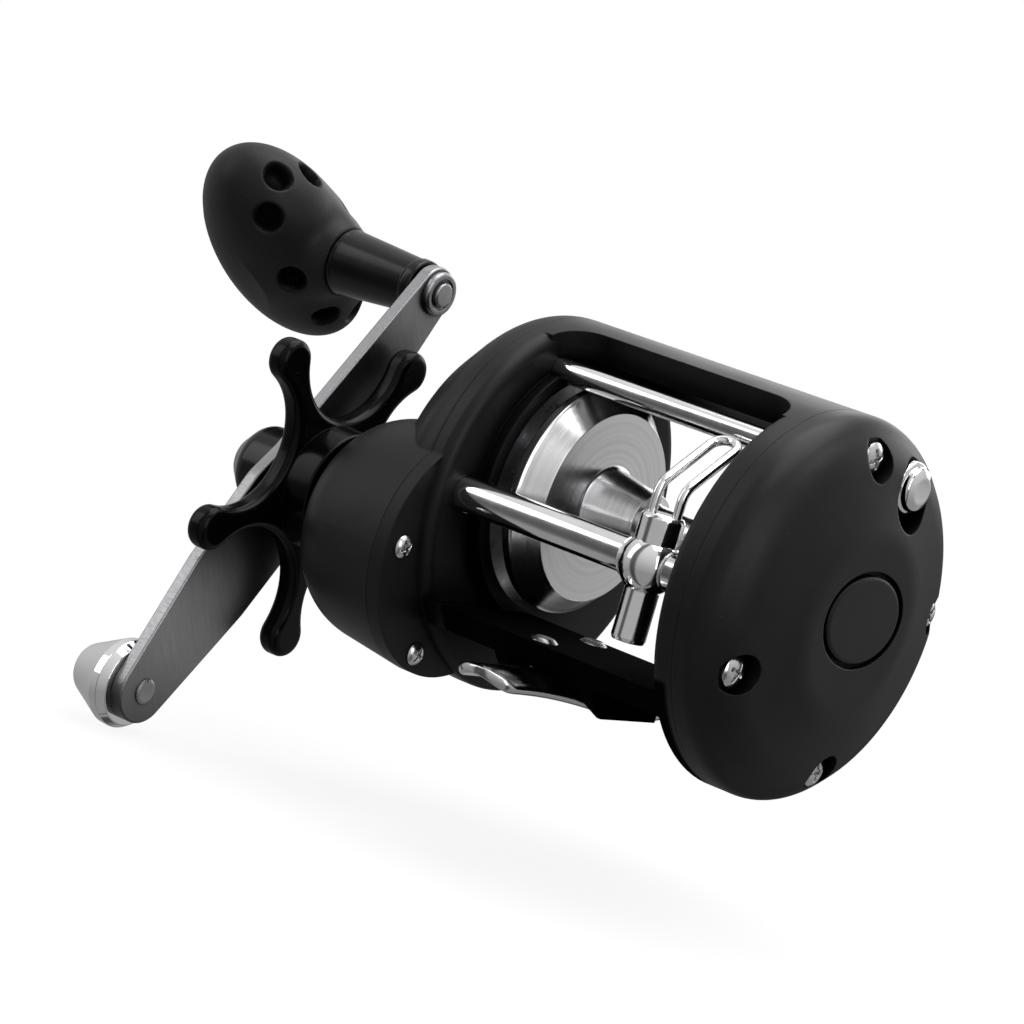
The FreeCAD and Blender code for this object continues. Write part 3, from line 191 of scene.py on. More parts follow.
def tube(bm, path, radius, ring=20):
    """A round bar that follows a path of points and ends in domes."""
    loops = []
    side = Vector((1, 0, 0))
    for i, point in enumerate(path):
        ahead = (path[min(i + 1, len(path) - 1)] - path[max(i - 1, 0)]).normalized()
        side = (side - ahead * side.dot(ahead)).normalized()
        across = ahead.cross(side)
        loop = []
        for k in range(ring):
            angle = 2 * math.pi * k / ring
            outward = side * math.cos(angle) + across * math.sin(angle)
            loop.append(bm.verts.new((point + outward * radius) * MM))
        loops.append(loop)
    for first, second in zip(loops, loops[1:]):
        bridge(bm, first, second)
    bm.faces.new(loops[0])
    bm.faces.new(loops[-1])


def smooth_step(value):
    t = min(max(value, 0.0), 1.0)
    return t * t * (3 - 2 * t)


def piece(name, bm, material, *nodes, sharp=32):
    """Turns mesh code into a shown piece that stands for CAD nodes and moves with their body."""
    bmesh.ops.remove_doubles(bm, verts=bm.verts, dist=1e-7)
    bmesh.ops.recalc_face_normals(bm, faces=bm.faces)
    mesh = bpy.data.meshes.new(name)
    bm.to_mesh(mesh)
    bm.free()
    mesh.shade_smooth()
    mesh.set_sharp_from_angle(angle=math.radians(sharp))
    made = bpy.data.objects.new(name, mesh)
    bpy.context.scene.collection.objects.link(made)
    made.modifiers.new("even_normals", "WEIGHTED_NORMAL").keep_sharp = True
    mesh.materials.append(material)
    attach(made, BODY_OF[nodes[0]])
    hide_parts(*nodes)


# ---------------------------------------------------------------- materials

class Shader:
    """A node material built up step by step around one Principled shader."""

    def __init__(self, name, colour, metallic, roughness, **sockets):
        self.material = bpy.data.materials.new(name)
        self.material.use_nodes = True
        self.tree = self.material.node_tree
        self.main = self.tree.nodes["Principled BSDF"]
        self.place = self.add("ShaderNodeTexCoord").outputs["Object"]
        self.colour = colour
        self.normal = None
        self.main.inputs["Base Color"].default_value = (*colour, 1)
        self.main.inputs["Metallic"].default_value = metallic
        self.main.inputs["Roughness"].default_value = roughness
        for label, value in sockets.items():
            self.main.inputs[label.replace("_", " ")].default_value = value

    def add(self, kind, **settings):
        made = self.tree.nodes.new(kind)
        for key, value in settings.items():
            setattr(made, key, value)
        return made

    def link(self, source, target):
        self.tree.links.new(source, target)

    def stretched(self, scale, turn):
        """Object coordinates turned, then scaled, so that a pattern is drawn out along one way."""
        first = self.add("ShaderNodeMapping", vector_type="POINT")
        first.inputs["Rotation"].default_value = turn
        self.link(self.place, first.inputs["Vector"])
        second = self.add("ShaderNodeMapping", vector_type="POINT")
        second.inputs["Scale"].default_value = scale
        self.link(first.outputs[0], second.inputs["Vector"])
        return second.outputs[0]

    def noise(self, scale, detail=3.0, source=None, roughness=0.5):
        made = self.add("ShaderNodeTexNoise")
        made.inputs["Scale"].default_value = scale
        made.inputs["Detail"].default_value = detail
        made.inputs["Roughness"].default_value = roughness
        self.link(source or self.place, made.inputs["Vector"])
        return made.outputs["Fac"]

    def remap(self, value, from_low, from_high, to_low, to_high):
        made = self.add("ShaderNodeMapRange")
        for label, number in (("From Min", from_low), ("From Max", from_high), ("To Min", to_low),
                              ("To Max", to_high)):
            made.inputs[label].default_value = number
        self.link(value, made.inputs["Value"])
        return made.outputs["Result"]

    def math(self, operation, a, b=0.0, c=0.0):
        made = self.add("ShaderNodeMath", operation=operation)
        for socket, value in zip(made.inputs, (a, b, c)):
            if isinstance(value, (int, float)):
                socket.default_value = value
            else:
                self.link(value, socket)
        return made.outputs[0]

    def radius_about(self, axis):
        """Distance from an axis along X, and the place along it."""
        split = self.add("ShaderNodeSeparateXYZ")
        self.link(self.place, split.inputs[0])
        y = self.math("SUBTRACT", split.outputs["Y"], axis[0] * MM)
        z = self.math("SUBTRACT", split.outputs["Z"], axis[1] * MM)
        square = self.math("ADD", self.math("MULTIPLY", y, y), self.math("MULTIPLY", z, z))
        return self.math("SQRT", square), split.outputs["X"]

    def bump(self, height, strength, distance):
        made = self.add("ShaderNodeBump")
        made.inputs["Strength"].default_value = strength
        made.inputs["Distance"].default_value = distance
        self.link(height, made.inputs["Height"])
        if self.normal:
            self.link(self.normal, made.inputs["Normal"])
        self.normal = made.outputs["Normal"]
        self.link(self.normal, self.main.inputs["Normal"])

    def soft_edges(self, radius):
        """Rounds the edges as they catch the light, and returns a mask of where they are."""
        bevel = self.add("ShaderNodeBevel", samples=6)
        bevel.inputs["Radius"].default_value = radius
        self.normal = bevel.outputs["Normal"]
        self.link(self.normal, self.main.inputs["Normal"])
        true = self.add("ShaderNodeNewGeometry").outputs["True Normal"]
        dot = self.add("ShaderNodeVectorMath", operation="DOT_PRODUCT")
        self.link(self.normal, dot.inputs[0])
        self.link(true, dot.inputs[1])
        return self.remap(dot.outputs["Value"], 0.995, 0.8, 0.0, 1.0)

    def tint(self, mask, colour):
        """Shifts the base colour towards another one where the mask is strong."""
        mix = self.add("ShaderNodeMix", data_type="RGBA")
        inside = self.main.inputs["Base Color"]
        if inside.is_linked:
            self.link(inside.links[0].from_socket, mix.inputs["A"])
        else:
            mix.inputs["A"].default_value = inside.default_value
        mix.inputs["B"].default_value = (*colour, 1)
        self.link(mask, mix.inputs["Factor"])
        self.link(mix.outputs["Result"], inside)

    def seams(self, planes, half):
        """Darkens a hairline round the object at planes across X."""
        split = self.add("ShaderNodeSeparateXYZ")
        self.link(self.place, split.inputs[0])
        for plane in planes:
            away = self.math("ABSOLUTE", self.math("SUBTRACT", split.outputs["X"], plane * MM))
            self.tint(self.remap(away, half * 1.7 * MM, half * MM, 0.0, 0.97), (0.0004, 0.0004, 0.0004))

    def rough(self, value, lowest, highest, from_low=0.3, from_high=0.7):
        self.link(self.remap(value, from_low, from_high, lowest, highest), self.main.inputs["Roughness"])


def satin_plastic(name, colour, edge_colour, dull_shaded_below=None):
    """Moulded soft-touch plastic: fine grain, a few pale specks, edges worn a little smoother, and painted
    shade where it is enclosed.

    Between the side rings, below the height given as its last argument, the surface is left dull and darkened
    with painted shade."""
    s = Shader(name, colour, 0, 0.42, Specular_IOR_Level=0.2)
    edges = s.soft_edges(0.0005)
    s.tint(s.remap(s.noise(160, 4), 0.35, 0.75, 0.0, 0.6), [c * 1.5 for c in colour])
    s.tint(s.remap(s.noise(2100, 1.5), 0.745, 0.79, 0.0, 0.55), (0.06, 0.06, 0.06))
    s.tint(s.math("MULTIPLY", edges, 0.35), edge_colour)
    s.seams((LEFT_SEAM, RIGHT_SEAM), 0.11)
    # Painted shade: the colour is darkened where ambient occlusion finds the surface enclosed, and the
    # specular level is lowered there.
    shade = s.add("ShaderNodeAmbientOcclusion", samples=6)
    shade.inputs["Distance"].default_value = 0.03
    enclosed_shade = s.remap(shade.outputs["AO"], 0.9, 0.5, 0.0, 1.0)
    s.tint(enclosed_shade, (0.0015, 0.0015, 0.0015))
    shine = s.remap(enclosed_shade, 0.0, 1.0, 0.22, 0.03)
    if dull_shaded_below:
        # Painted shade: below the given height, between the side rings, the colour is darkened as if in
        # shadow, and the surface is also made duller there.
        split = s.add("ShaderNodeSeparateXYZ")
        s.link(s.place, split.inputs[0])
        low_down = s.remap(split.outputs["Z"], dull_shaded_below + 0.001, dull_shaded_below, 0.0, 1.0)
        across = s.math("ABSOLUTE", s.math("SUBTRACT", split.outputs["X"], WINDOW_MIDDLE * MM))
        between = s.remap(across, (WINDOW_HALF + 1) * MM, WINDOW_HALF * MM, 0.0, 1.0)
        dull_and_shaded = s.math("MULTIPLY", low_down, between)
        s.tint(dull_and_shaded, (0.0012, 0.0012, 0.0012))
        shine = s.math("MULTIPLY", shine, s.remap(dull_and_shaded, 0.0, 1.0, 1.0, 0.1))
        patches = s.remap(s.noise(38, 5), 0.3, 0.7, 0.36, 0.48)
        s.link(s.math("MULTIPLY_ADD", dull_and_shaded, 0.5, patches), s.main.inputs["Roughness"])
    else:
        s.rough(s.noise(38, 5), 0.36, 0.48)
    s.link(shine, s.main.inputs["Specular IOR Level"])
    s.bump(s.noise(3200, 2), 0.22, 0.00008)
    s.bump(s.noise(120, 3), 0.05, 0.0006)
    return s.material


def gloss_plastic(name, colour, shine, lowest, highest):
    """Polished black plastic: faint orange peel, smudges and hairline scuffs."""
    s = Shader(name, colour, 0, 0.2, Specular_IOR_Level=shine, Coat_Weight=shine / 2, Coat_Roughness=0.08)
    edges = s.soft_edges(0.00035)
    s.tint(s.math("MULTIPLY", edges, 0.3), (0.02, 0.02, 0.021))
    s.tint(s.remap(s.noise(2600, 1.5), 0.76, 0.8, 0.0, 0.4), (0.09, 0.09, 0.09))
    s.rough(s.noise(90, 5), lowest, highest)
    s.bump(s.noise(420, 2), 0.06, 0.0004)
    s.bump(s.noise(60, 2, s.stretched((1, 14, 2), (0.5, 0.3, 0.9))), 0.03, 0.0002)
    return s.material


def grip_plastic(name, colour):
    """Matte grip: pebbled grain with a soft sheen on the high spots, and painted shade in its pits and
    dimples.
    """
    s = Shader(name, colour, 0, 0.5, Sheen_Weight=0.03, Specular_IOR_Level=0.24)
    s.tint(s.remap(s.noise(70, 5), 0.35, 0.75, 0.0, 0.7), [c * 1.7 for c in colour])
    s.tint(s.remap(s.noise(1700, 1.5), 0.75, 0.8, 0.0, 0.5), (0.09, 0.09, 0.09))
    pebbles = s.add("ShaderNodeTexVoronoi")
    pebbles.inputs["Scale"].default_value = 1900
    s.link(s.place, pebbles.inputs["Vector"])
    # Painted shade: the colour is darkened in the pits and dimples that ambient occlusion finds, and the
    # specular level is lowered there.
    shade = s.add("ShaderNodeAmbientOcclusion", samples=6)
    shade.inputs["Distance"].default_value = 0.005
    pit_shade = s.remap(shade.outputs["AO"], 0.93, 0.76, 0.0, 1.0)
    s.tint(pit_shade, (0.0004, 0.0004, 0.0004))
    s.link(s.remap(pit_shade, 0.0, 1.0, 0.24, 0.03), s.main.inputs["Specular IOR Level"])
    s.rough(s.noise(55, 4), 0.42, 0.56)
    s.bump(pebbles.outputs["Distance"], 0.16, 0.00012)
    s.bump(s.noise(240, 3), 0.07, 0.0005)
    return s.material


def polished(name, colour, lowest, highest, axis=None, lines=0.0, edge=0.0003):
    """Chrome: smudges in the polish, micro pits and, round an axis, faint turning lines."""
    s = Shader(name, colour, 1, 0.08)
    if edge:
        s.soft_edges(edge)
    s.tint(s.remap(s.noise(140, 5), 0.5, 0.8, 0.0, 0.5), [c * 0.8 for c in colour])
    s.rough(s.noise(210, 6), lowest, highest)
    if axis:
        radius, along = s.radius_about(axis)
        groove = s.add("ShaderNodeCombineXYZ")
        s.link(radius, groove.inputs[0])
        s.link(along, groove.inputs[1])
        s.bump(s.noise(3800, 3, groove.outputs[0], 0.7), lines, 0.00003)
    s.bump(s.noise(900, 4), 0.02, 0.0001)
    return s.material


def turned_metal(name, colour, axis, lowest, highest):
    """Lathe-turned metal that throws its light in spokes, with fine rings and tool chatter."""
    s = Shader(name, colour, 1, 0.2, Anisotropic=0.8)
    tangent = s.add("ShaderNodeTangent", direction_type="RADIAL", axis="X")
    s.link(tangent.outputs[0], s.main.inputs["Tangent"])
    radius, along = s.radius_about(axis)
    rings = s.add("ShaderNodeCombineXYZ")
    s.link(radius, rings.inputs[0])
    s.link(along, rings.inputs[1])
    fine = s.noise(5200, 3, rings.outputs[0], 0.7)
    broad = s.noise(900, 2, rings.outputs[0])
    s.tint(s.remap(broad, 0.4, 0.7, 0.0, 0.45), [c * 0.72 for c in colour])
    s.rough(fine, lowest, highest, 0.25, 0.75)
    s.bump(fine, 0.10, 0.00004)
    s.bump(broad, 0.04, 0.0002)
    return s.material


def brushed(name, colour, turn, lowest, highest, wear):
    """Brushed sheet steel: long fine scratches one way, uneven polish, brighter edges, and a painted dark
    reflection where other parts stand close to it.
    """
    s = Shader(name, colour, 1, 0.32, Anisotropic=0.35)
    edges = s.soft_edges(0.0003)
    grain = s.noise(90, 6, s.stretched((6, 1, 34), (turn, 0, 0)), 0.75)
    patches = s.noise(38, 3)
    s.tint(s.remap(grain, 0.35, 0.7, 0.0, 0.5), [c * 0.66 for c in colour])
    s.tint(s.remap(patches, 0.45, 0.75, 0.0, 0.4), [c * 0.7 for c in colour])
    # Painted reflection: the colour is darkened where ambient occlusion finds parts close by, standing in for
    # the dark reel body reflected in the arm.
    shade = s.add("ShaderNodeAmbientOcclusion", samples=8)
    shade.inputs["Distance"].default_value = 0.03
    s.tint(s.remap(shade.outputs["AO"], 0.95, 0.45, 0.0, 0.85), (0.03, 0.03, 0.03))
    s.tint(s.math("MULTIPLY", edges, wear), (0.86, 0.86, 0.87))
    s.rough(grain, lowest, highest)
    s.bump(grain, 0.13, 0.00006)
    s.bump(s.noise(700, 4), 0.03, 0.0001)
    return s.material


def recessed_steel(name, colour, lowest, highest):
    """Screw heads: plated steel with painted shade in the recess."""
    s = Shader(name, colour, 1, 0.22)
    s.soft_edges(0.00012)
    # Painted shade: the colour is darkened deep in the cross recess, where ambient occlusion finds it.
    shade = s.add("ShaderNodeAmbientOcclusion", samples=6)
    shade.inputs["Distance"].default_value = 0.0009
    s.tint(s.remap(shade.outputs["AO"], 0.75, 0.25, 0.0, 0.92), (0.02, 0.02, 0.02))
    s.tint(s.remap(s.noise(1200, 4), 0.5, 0.8, 0.0, 0.5), [c * 0.7 for c in colour])
    s.rough(s.noise(800, 5), lowest, highest)
    s.bump(s.noise(2400, 3), 0.05, 0.00005)
    return s.material


def plain_stock(name, colour, metallic, lowest, highest, grain, strength):
    """Inner pieces: an even finish with grain, small stains and worn edges."""
    s = Shader(name, colour, metallic, 0.4)
    edges = s.soft_edges(0.0002)
    s.tint(s.remap(s.noise(300, 5), 0.4, 0.75, 0.0, 0.6), [c * 0.6 for c in colour])
    s.tint(s.math("MULTIPLY", edges, 0.4), [min(1.0, c * 1.3) for c in colour])
    s.rough(s.noise(500, 4), lowest, highest)
    s.bump(s.noise(grain, 4), strength, 0.00008)
    return s.material


BODY_BLACK = satin_plastic("body_black", (0.0065, 0.0065, 0.007), (0.03, 0.03, 0.031))
# frame_black is body_black with painted shade on the top of the bottom bar, between the side rings.
FRAME_BLACK = satin_plastic("frame_black", (0.0065, 0.0065, 0.007), (0.03, 0.03, 0.031),
                            BAR_TOP * MM)
CAP_BLACK = satin_plastic("cap_black", (0.006, 0.006, 0.0065), (0.03, 0.03, 0.031))
GLOSS_BLACK = gloss_plastic("gloss_black", (0.0022, 0.0022, 0.0025), 0.24, 0.2, 0.3)
# star_black is a darker, less shiny copy of gloss_black: painted shade for the star wheel.
STAR_BLACK = gloss_plastic("star_black", (0.0012, 0.0012, 0.0014), 0.1, 0.18, 0.28)
GRIP_BLACK = grip_plastic("grip_black", (0.0065, 0.0065, 0.0065))
CHROME = polished("chrome", (0.82, 0.82, 0.83), 0.05, 0.12)
ROD_CHROME = polished("rod_chrome", (0.84, 0.84, 0.85), 0.06, 0.13, WORM, 0.06)
WEIGHT_CHROME = polished("weight_chrome", (0.84, 0.84, 0.85), 0.04, 0.1, WEIGHT, 0.05)
BUTTON_CHROME = polished("button_chrome", (0.84, 0.84, 0.85), 0.05, 0.12, BUTTON, 0.08, 0.0001)
FOOT_CHROME = polished("foot_chrome", (0.6, 0.6, 0.61), 0.08, 0.2)
SPOOL_METAL = turned_metal("spool_metal", (0.83, 0.83, 0.84), SPOOL, 0.13, 0.26)
ARM_STEEL = brushed("arm_steel", (0.39, 0.39, 0.4), math.pi - ARM_TURN, 0.27, 0.42, 0.8)
SCREW_STEEL = recessed_steel("screw_steel", (0.68, 0.68, 0.69), 0.14, 0.3)
PIN_STEEL = plain_stock("pin_steel", (0.36, 0.36, 0.37), 1, 0.34, 0.48, 1800, 0.08)
DARK_SCREW = recessed_steel("dark_screw", (0.26, 0.26, 0.27), 0.16, 0.3)
PLATE_STEEL = plain_stock("plate_steel", (0.5, 0.5, 0.52), 1, 0.25, 0.42, 900, 0.06)
BEARING_STEEL = plain_stock("bearing_steel", (0.62, 0.62, 0.64), 1, 0.12, 0.26, 1500, 0.04)
GEAR_BRASS = plain_stock("gear_brass", (0.72, 0.5, 0.22), 1, 0.22, 0.4, 1200, 0.06)
DRAG_FIBRE = plain_stock("drag_fibre", (0.1, 0.085, 0.07), 0, 0.6, 0.85, 2400, 0.5)
GEAR_NYLON = plain_stock("gear_nylon", (0.74, 0.72, 0.66), 0, 0.35, 0.55, 1600, 0.08)
SPRING_STEEL = plain_stock("spring_steel", (0.52, 0.52, 0.54), 1, 0.2, 0.35, 1800, 0.06)
BY_SLOT = {"body_black": BODY_BLACK, "gloss_black": GLOSS_BLACK, "grip_black": GRIP_BLACK, "chrome": CHROME,
           "screw_steel": SCREW_STEEL, "arm_steel": ARM_STEEL, "plate_steel": PLATE_STEEL,
           "bearing_steel": BEARING_STEEL, "gear_brass": GEAR_BRASS, "drag_fibre": DRAG_FIBRE,
           "gear_nylon": GEAR_NYLON, "spring_steel": SPRING_STEEL}
for label, shown in NODES.items():
    shown.data.materials.clear()
    shown.data.materials.append(FRAME_BLACK if label == "frame" else BY_SLOT[SLOT_OF[label]])


# ---------------------------------------------------------------- screws and turned pieces

def phillips(bm, place, radius, dome, rings=34, ring=96):
    """A domed head about the placement's X with a cross recess cut into it."""
    wide, reach, deep, edge = 0.15 * radius, 0.62 * radius, 0.36 * radius, 0.055 * radius

    def arm(u, v):
        taper = 1 - 0.35 * abs(v) / reach
        sides = smooth_step((wide * taper - abs(u)) / edge + 0.5)
        return sides * smooth_step((reach - abs(v)) / (2 * edge) + 0.5)

    loops = [[vertex(bm, place, dome, 0, 0)]]
    loops[0][0].co = (place @ Vector((dome - deep, 0, 0))) * MM
    for i in range(1, rings + 1):
        rho = radius * i / rings
        loop = []
        for k in range(ring):
            angle = 2 * math.pi * k / ring
            u, v = rho * math.cos(angle), rho * math.sin(angle)
            height = dome * (1 - (rho / radius) ** 3.2)
            cone = deep * (1 - 0.45 * rho / reach)
            loop.append(vertex(bm, place, height - cone * max(arm(u, v), arm(v, u)), u, v))
        loops.append(loop)
    angles = [2 * math.pi * k / ring for k in range(ring)]
    for x, rho in ((-0.12 * radius, radius), (-0.3 * radius, 0.97 * radius)):
        loops.append([vertex(bm, place, x, rho * math.cos(a), rho * math.sin(a)) for a in angles])
    for first, second in zip(loops, loops[1:]):
        bridge(bm, first, second)
    bm.faces.new(loops[-1])


def around(circle, degrees, centre):
    """The (y, z) spot on a circle, degrees up from the front."""
    turn = math.radians(degrees)
    return centre[0] - circle * math.cos(turn), centre[1] + circle * math.sin(turn)


def cover_screws():
    """Two heads on the gear lobe's flange and two on the ring behind it."""
    bm = bmesh.new()
    lobe = (DRIVE[0] - 1.74, DRIVE[1] - 2.28)
    top = high("gear_cover_screws").x
    for spot, plane, spin in (((lobe[0] - 19.6, lobe[1] + 0.7), top - 1.44, 0.5),
                              ((lobe[0] - 6.4, lobe[1] - 20.3), top - 1.44, 1.1)):
        phillips(bm, at_x(plane + 0.25, spot) @ Matrix.Rotation(spin, 4, "X"), 2.35, 0.95)
        lathe(bm, [(0, 0), (0, 1.15), (6, 1.15), (6, 0)], at_x(plane - 6.2, spot), 32)
    for turn, spin in ((178, 0.3), (238, 0.9)):
        spot = around(32.6, turn, RING)
        phillips(bm, at_x(LEFT_SEAM + 3.2, spot) @ Matrix.Rotation(spin, 4, "X"), 2.35, 0.95)
        lathe(bm, [(0, 0), (0, 1.15), (6, 1.15), (6, 0)], at_x(LEFT_SEAM - 2.9, spot), 32)
    piece("gear_cover_screw_heads", bm, SCREW_STEEL, "gear_cover_screws")


def tail_screws():
    """Four heads sunk in the recesses of the tail cover."""
    bm = bmesh.new()
    for turn, spin in ((83, 0.4), (-23, 1.2), (-105, 0.1), (175, 0.75)):
        spot = around(31.5, turn, RING)
        phillips(bm, at_x(RIGHT_SEAM + 9.1, spot) @ Matrix.Rotation(spin, 4, "X"), 3.15, 0.95)
        lathe(bm, [(0, 0), (0, 1.2), (10, 1.2), (10, 0)], at_x(RIGHT_SEAM - 1.8, spot), 32)
    piece("tail_cover_screw_heads", bm, SCREW_STEEL, "tail_cover_screws")


def foot_screws():
    """Two low heads that stand up from the bottom bar."""
    bm = bmesh.new()
    top = high("foot_screws").z
    for x, y in ((-2.5, -27), (-3.8, -9)):
        outline = [(0, 0), (0, 1.55), (6.6, 1.55), (6.6, 2.85, 0.2), (7.05, 2.85, 0.3), (7.75, 1.9, 0.8),
                   (7.75, 0)]
        lathe(bm, outline, at_z(x, y, top - 7.85), 64)
    piece("foot_screw_heads", bm, DARK_SCREW, "foot_screws")


def turned_pieces():
    """Pieces turned about one axis, each a stand-in for one CAD node."""
    cap = low("tail_cap").x
    face = high("tail_cap").x
    depth = face - cap
    oval = Matrix.Diagonal((1, 12.15 / 8.65, 1, 1))
    spindle_length = high("knob_spindle").x - low("knob_spindle").x - 0.02
    pieces = {
        "tail_cap": ([(0, 0), (0, 8.65, 0.2), (depth - 0.4, 8.65, 0.3), (depth - 0.12, 8.1, 0.6),
                      (depth - 0.02, 3), (depth - 0.02, 0)], at_x(cap, CAP) @ oval, CAP_BLACK),
        "click_button": ([(0, 0), (0, 2), (9.1, 2), (9.1, 5.18, 0.2), (10.9, 5.18, 0.4), (11.1, 4.35, 0.2),
                          (12.3, 4.3, 0.9), (13.1, 2.6, 1.2), (12.9, 1.6, 1.5), (12.8, 0)],
                         at_x(low("click_button").x, BUTTON), BUTTON_CHROME),
        "nut_cap": ([(0, 7.2), (0, 8.58, 0.4), (7.0, 8.58, 3.4), (11.45, 4.7, 1.6), (11.45, 4.0, 0.3),
                     (10.4, 3.7, 0.3), (10.2, 0)], at_x(ARM_PLANE, DRIVE, -1), GLOSS_BLACK),
        "counterweight": ([(0, 0), (0, 8.1, 0.3), (1.7, 9.18, 0.5), (3.6, 9.1, 0.5), (13.45, 4.6, 3.2),
                           (13.45, 0)], at_x(ARM_PLANE, WEIGHT, -1), WEIGHT_CHROME),
        "knob_washer": ([(0, 2.6), (0, 4.68, 0.1), (1.1, 4.68, 0.4), (1.48, 4.2, 0.2), (1.48, 3.3, 0.2),
                         (0.9, 3.2), (0.9, 2.6)], at_x(ARM_FACE, KNOB), ARM_STEEL),
        "knob_spindle": ([(0, 0), (0, 2.6), (20, 2.6), (spindle_length, 2.58, 0.5), (spindle_length, 0)],
                         at_x(low("knob_spindle").x, KNOB), PIN_STEEL),
        "weight_rivet": ([(0, 0), (0, 2.6), (5.3, 2.6), (5.58, 2.1, 0.4), (5.58, 0)],
                         at_x(low("weight_rivet").x, WEIGHT), PIN_STEEL),
        "knob_stem": ([(0, 2.65), (0, 5.88, 0.5), (2.2, 6.0, 0.6), (2.6, 5.75, 0.3), (3.2, 5.8, 0.5),
                       (20.4, 7.05, 0.4), (21.58, 7.28, 0.5), (21.58, 2.65)],
                      at_x(ARM_PLANE - 0.4, KNOB, -1), GLOSS_BLACK),
        "upper_guide_rod": ([(0, 0), (0, 2.4, 0.3), (62, 2.4, 0.3), (62, 0)],
                            at_x(low("upper_guide_rod").x, ROD), ROD_CHROME),
    }
    for label, (outline, place, material) in pieces.items():
        bm = bmesh.new()
        lathe(bm, outline, place, 160)
        piece(label + "_turned", bm, material, label)


def spool():
    """Dished flanges with a flat outer band, a step and a waisted arbor, all one turning."""
    start, end = low("spool").x, high("spool").x
    length = end - start
    side = [(0, 2.02), (0, 7, 0.3), (1.6, 9, 0.8), (0.6, 21.4, 0.4), (0.6, 23.38, 0.5), (2.6, 23.38, 0.2),
            (2.95, 22.95, 0.1), (7.2, 19.4, 0.25), (7.6, 8.4, 0.9), (19, 6.2, 0.2), (19.4, 4.4, 0.3)]
    far = [(length - corner[0], *corner[1:]) for corner in reversed(side)]
    bm = bmesh.new()
    lathe(bm, side + far, at_x(start, SPOOL), 256, closed=True)
    piece("spool_turned", bm, SPOOL_METAL, "spool")


# ---------------------------------------------------------------- star, arm, knob, foot, guide

def star_outline(inset):
    """Five bulbs joined by hollow arcs that touch them without a corner."""
    reach, bulb, bite_circle = 31.3, 4.45, 28.5
    gap = math.sqrt(reach ** 2 + bite_circle ** 2 - 2 * reach * bite_circle * math.cos(math.radians(36)))
    bite = gap - bulb
    points = []
    for arm in range(5):
        middle = math.radians(72 * arm)
        bulb_centre = Vector((math.cos(middle), math.sin(middle))) * reach
        bite_centre = Vector((math.cos(middle + math.pi / 5), math.sin(middle + math.pi / 5))) * bite_circle
        toward = bite_centre - bulb_centre
        half = math.atan2(toward.y, toward.x) - middle
        half = (half + math.pi) % (2 * math.pi) - math.pi
        for step in range(25):
            angle = middle - half + 2 * half * step / 24
            points.append(bulb_centre + Vector((math.cos(angle), math.sin(angle))) * (bulb - inset))
        back = -toward
        start = math.atan2(back.y, back.x)
        mirror = middle + math.pi / 5
        sweep = 2 * ((mirror + math.pi - start + math.pi) % (2 * math.pi) - math.pi)
        for step in range(1, 40):
            angle = start + sweep * step / 40
            points.append(bite_centre + Vector((math.cos(angle), math.sin(angle))) * (bite + inset))
    return points


def star_wheel():
    plane, thick = low("star_wheel").x, 5.0
    bm = bmesh.new()
    slab(bm, star_outline, heading(plane, DRIVE, math.radians(51.5)), thick, 1.7, 8)
    lathe(bm, [(0.4, 6.9), (0, 13.45, 0.2), (6.3, 13.4, 0.9), (6.38, 12.2), (6.38, 6.9, 0.3), (0.4, 6.9)],
          at_x(plane + thick - 0.01, DRIVE), 128)
    lathe(bm, [(0.6, 8.6), (0.1, 8.4, 0.3), (0, 7.8), (0.4, 7.0, 0.2), (0.8, 6.8)], at_x(plane, DRIVE), 128)
    piece("star_wheel_moulded", bm, STAR_BLACK, "star_wheel")


def arm_outline(inset):
    """A long plate hulled round circles on one line, widest just below the drive axis."""
    circles = [(-54.7, 6.8), (-27.35, 10.4), (-8, 11.0), (0, 9.4), (50, 5.4)]
    circles = [(along, radius - inset) for along, radius in circles]
    leans = [math.asin((ra - rb) / (b - a)) for (a, ra), (b, rb) in zip(circles, circles[1:])]
    side = []
    for number, (along, radius) in enumerate(circles):
        start = math.pi if number == 0 else math.pi / 2 - leans[number - 1]
        end = 0.0 if number == len(circles) - 1 else math.pi / 2 - leans[number]
        if end > start:
            start = end = (start + end) / 2
        for step in range(17):
            angle = start + (end - start) * step / 16
            side.append((along + radius * math.cos(angle), radius * math.sin(angle)))
            if start == end:
                break
    lower = [(along, -across) for along, across in side[-2:0:-1]]
    return side + lower


def handle_arm():
    bm = bmesh.new()
    slab(bm, arm_outline, heading(ARM_PLANE, DRIVE, ARM_TURN), ARM_FACE - ARM_PLANE, 0.45, 4)
    piece("handle_arm_plate", bm, ARM_STEEL, "handle_arm")


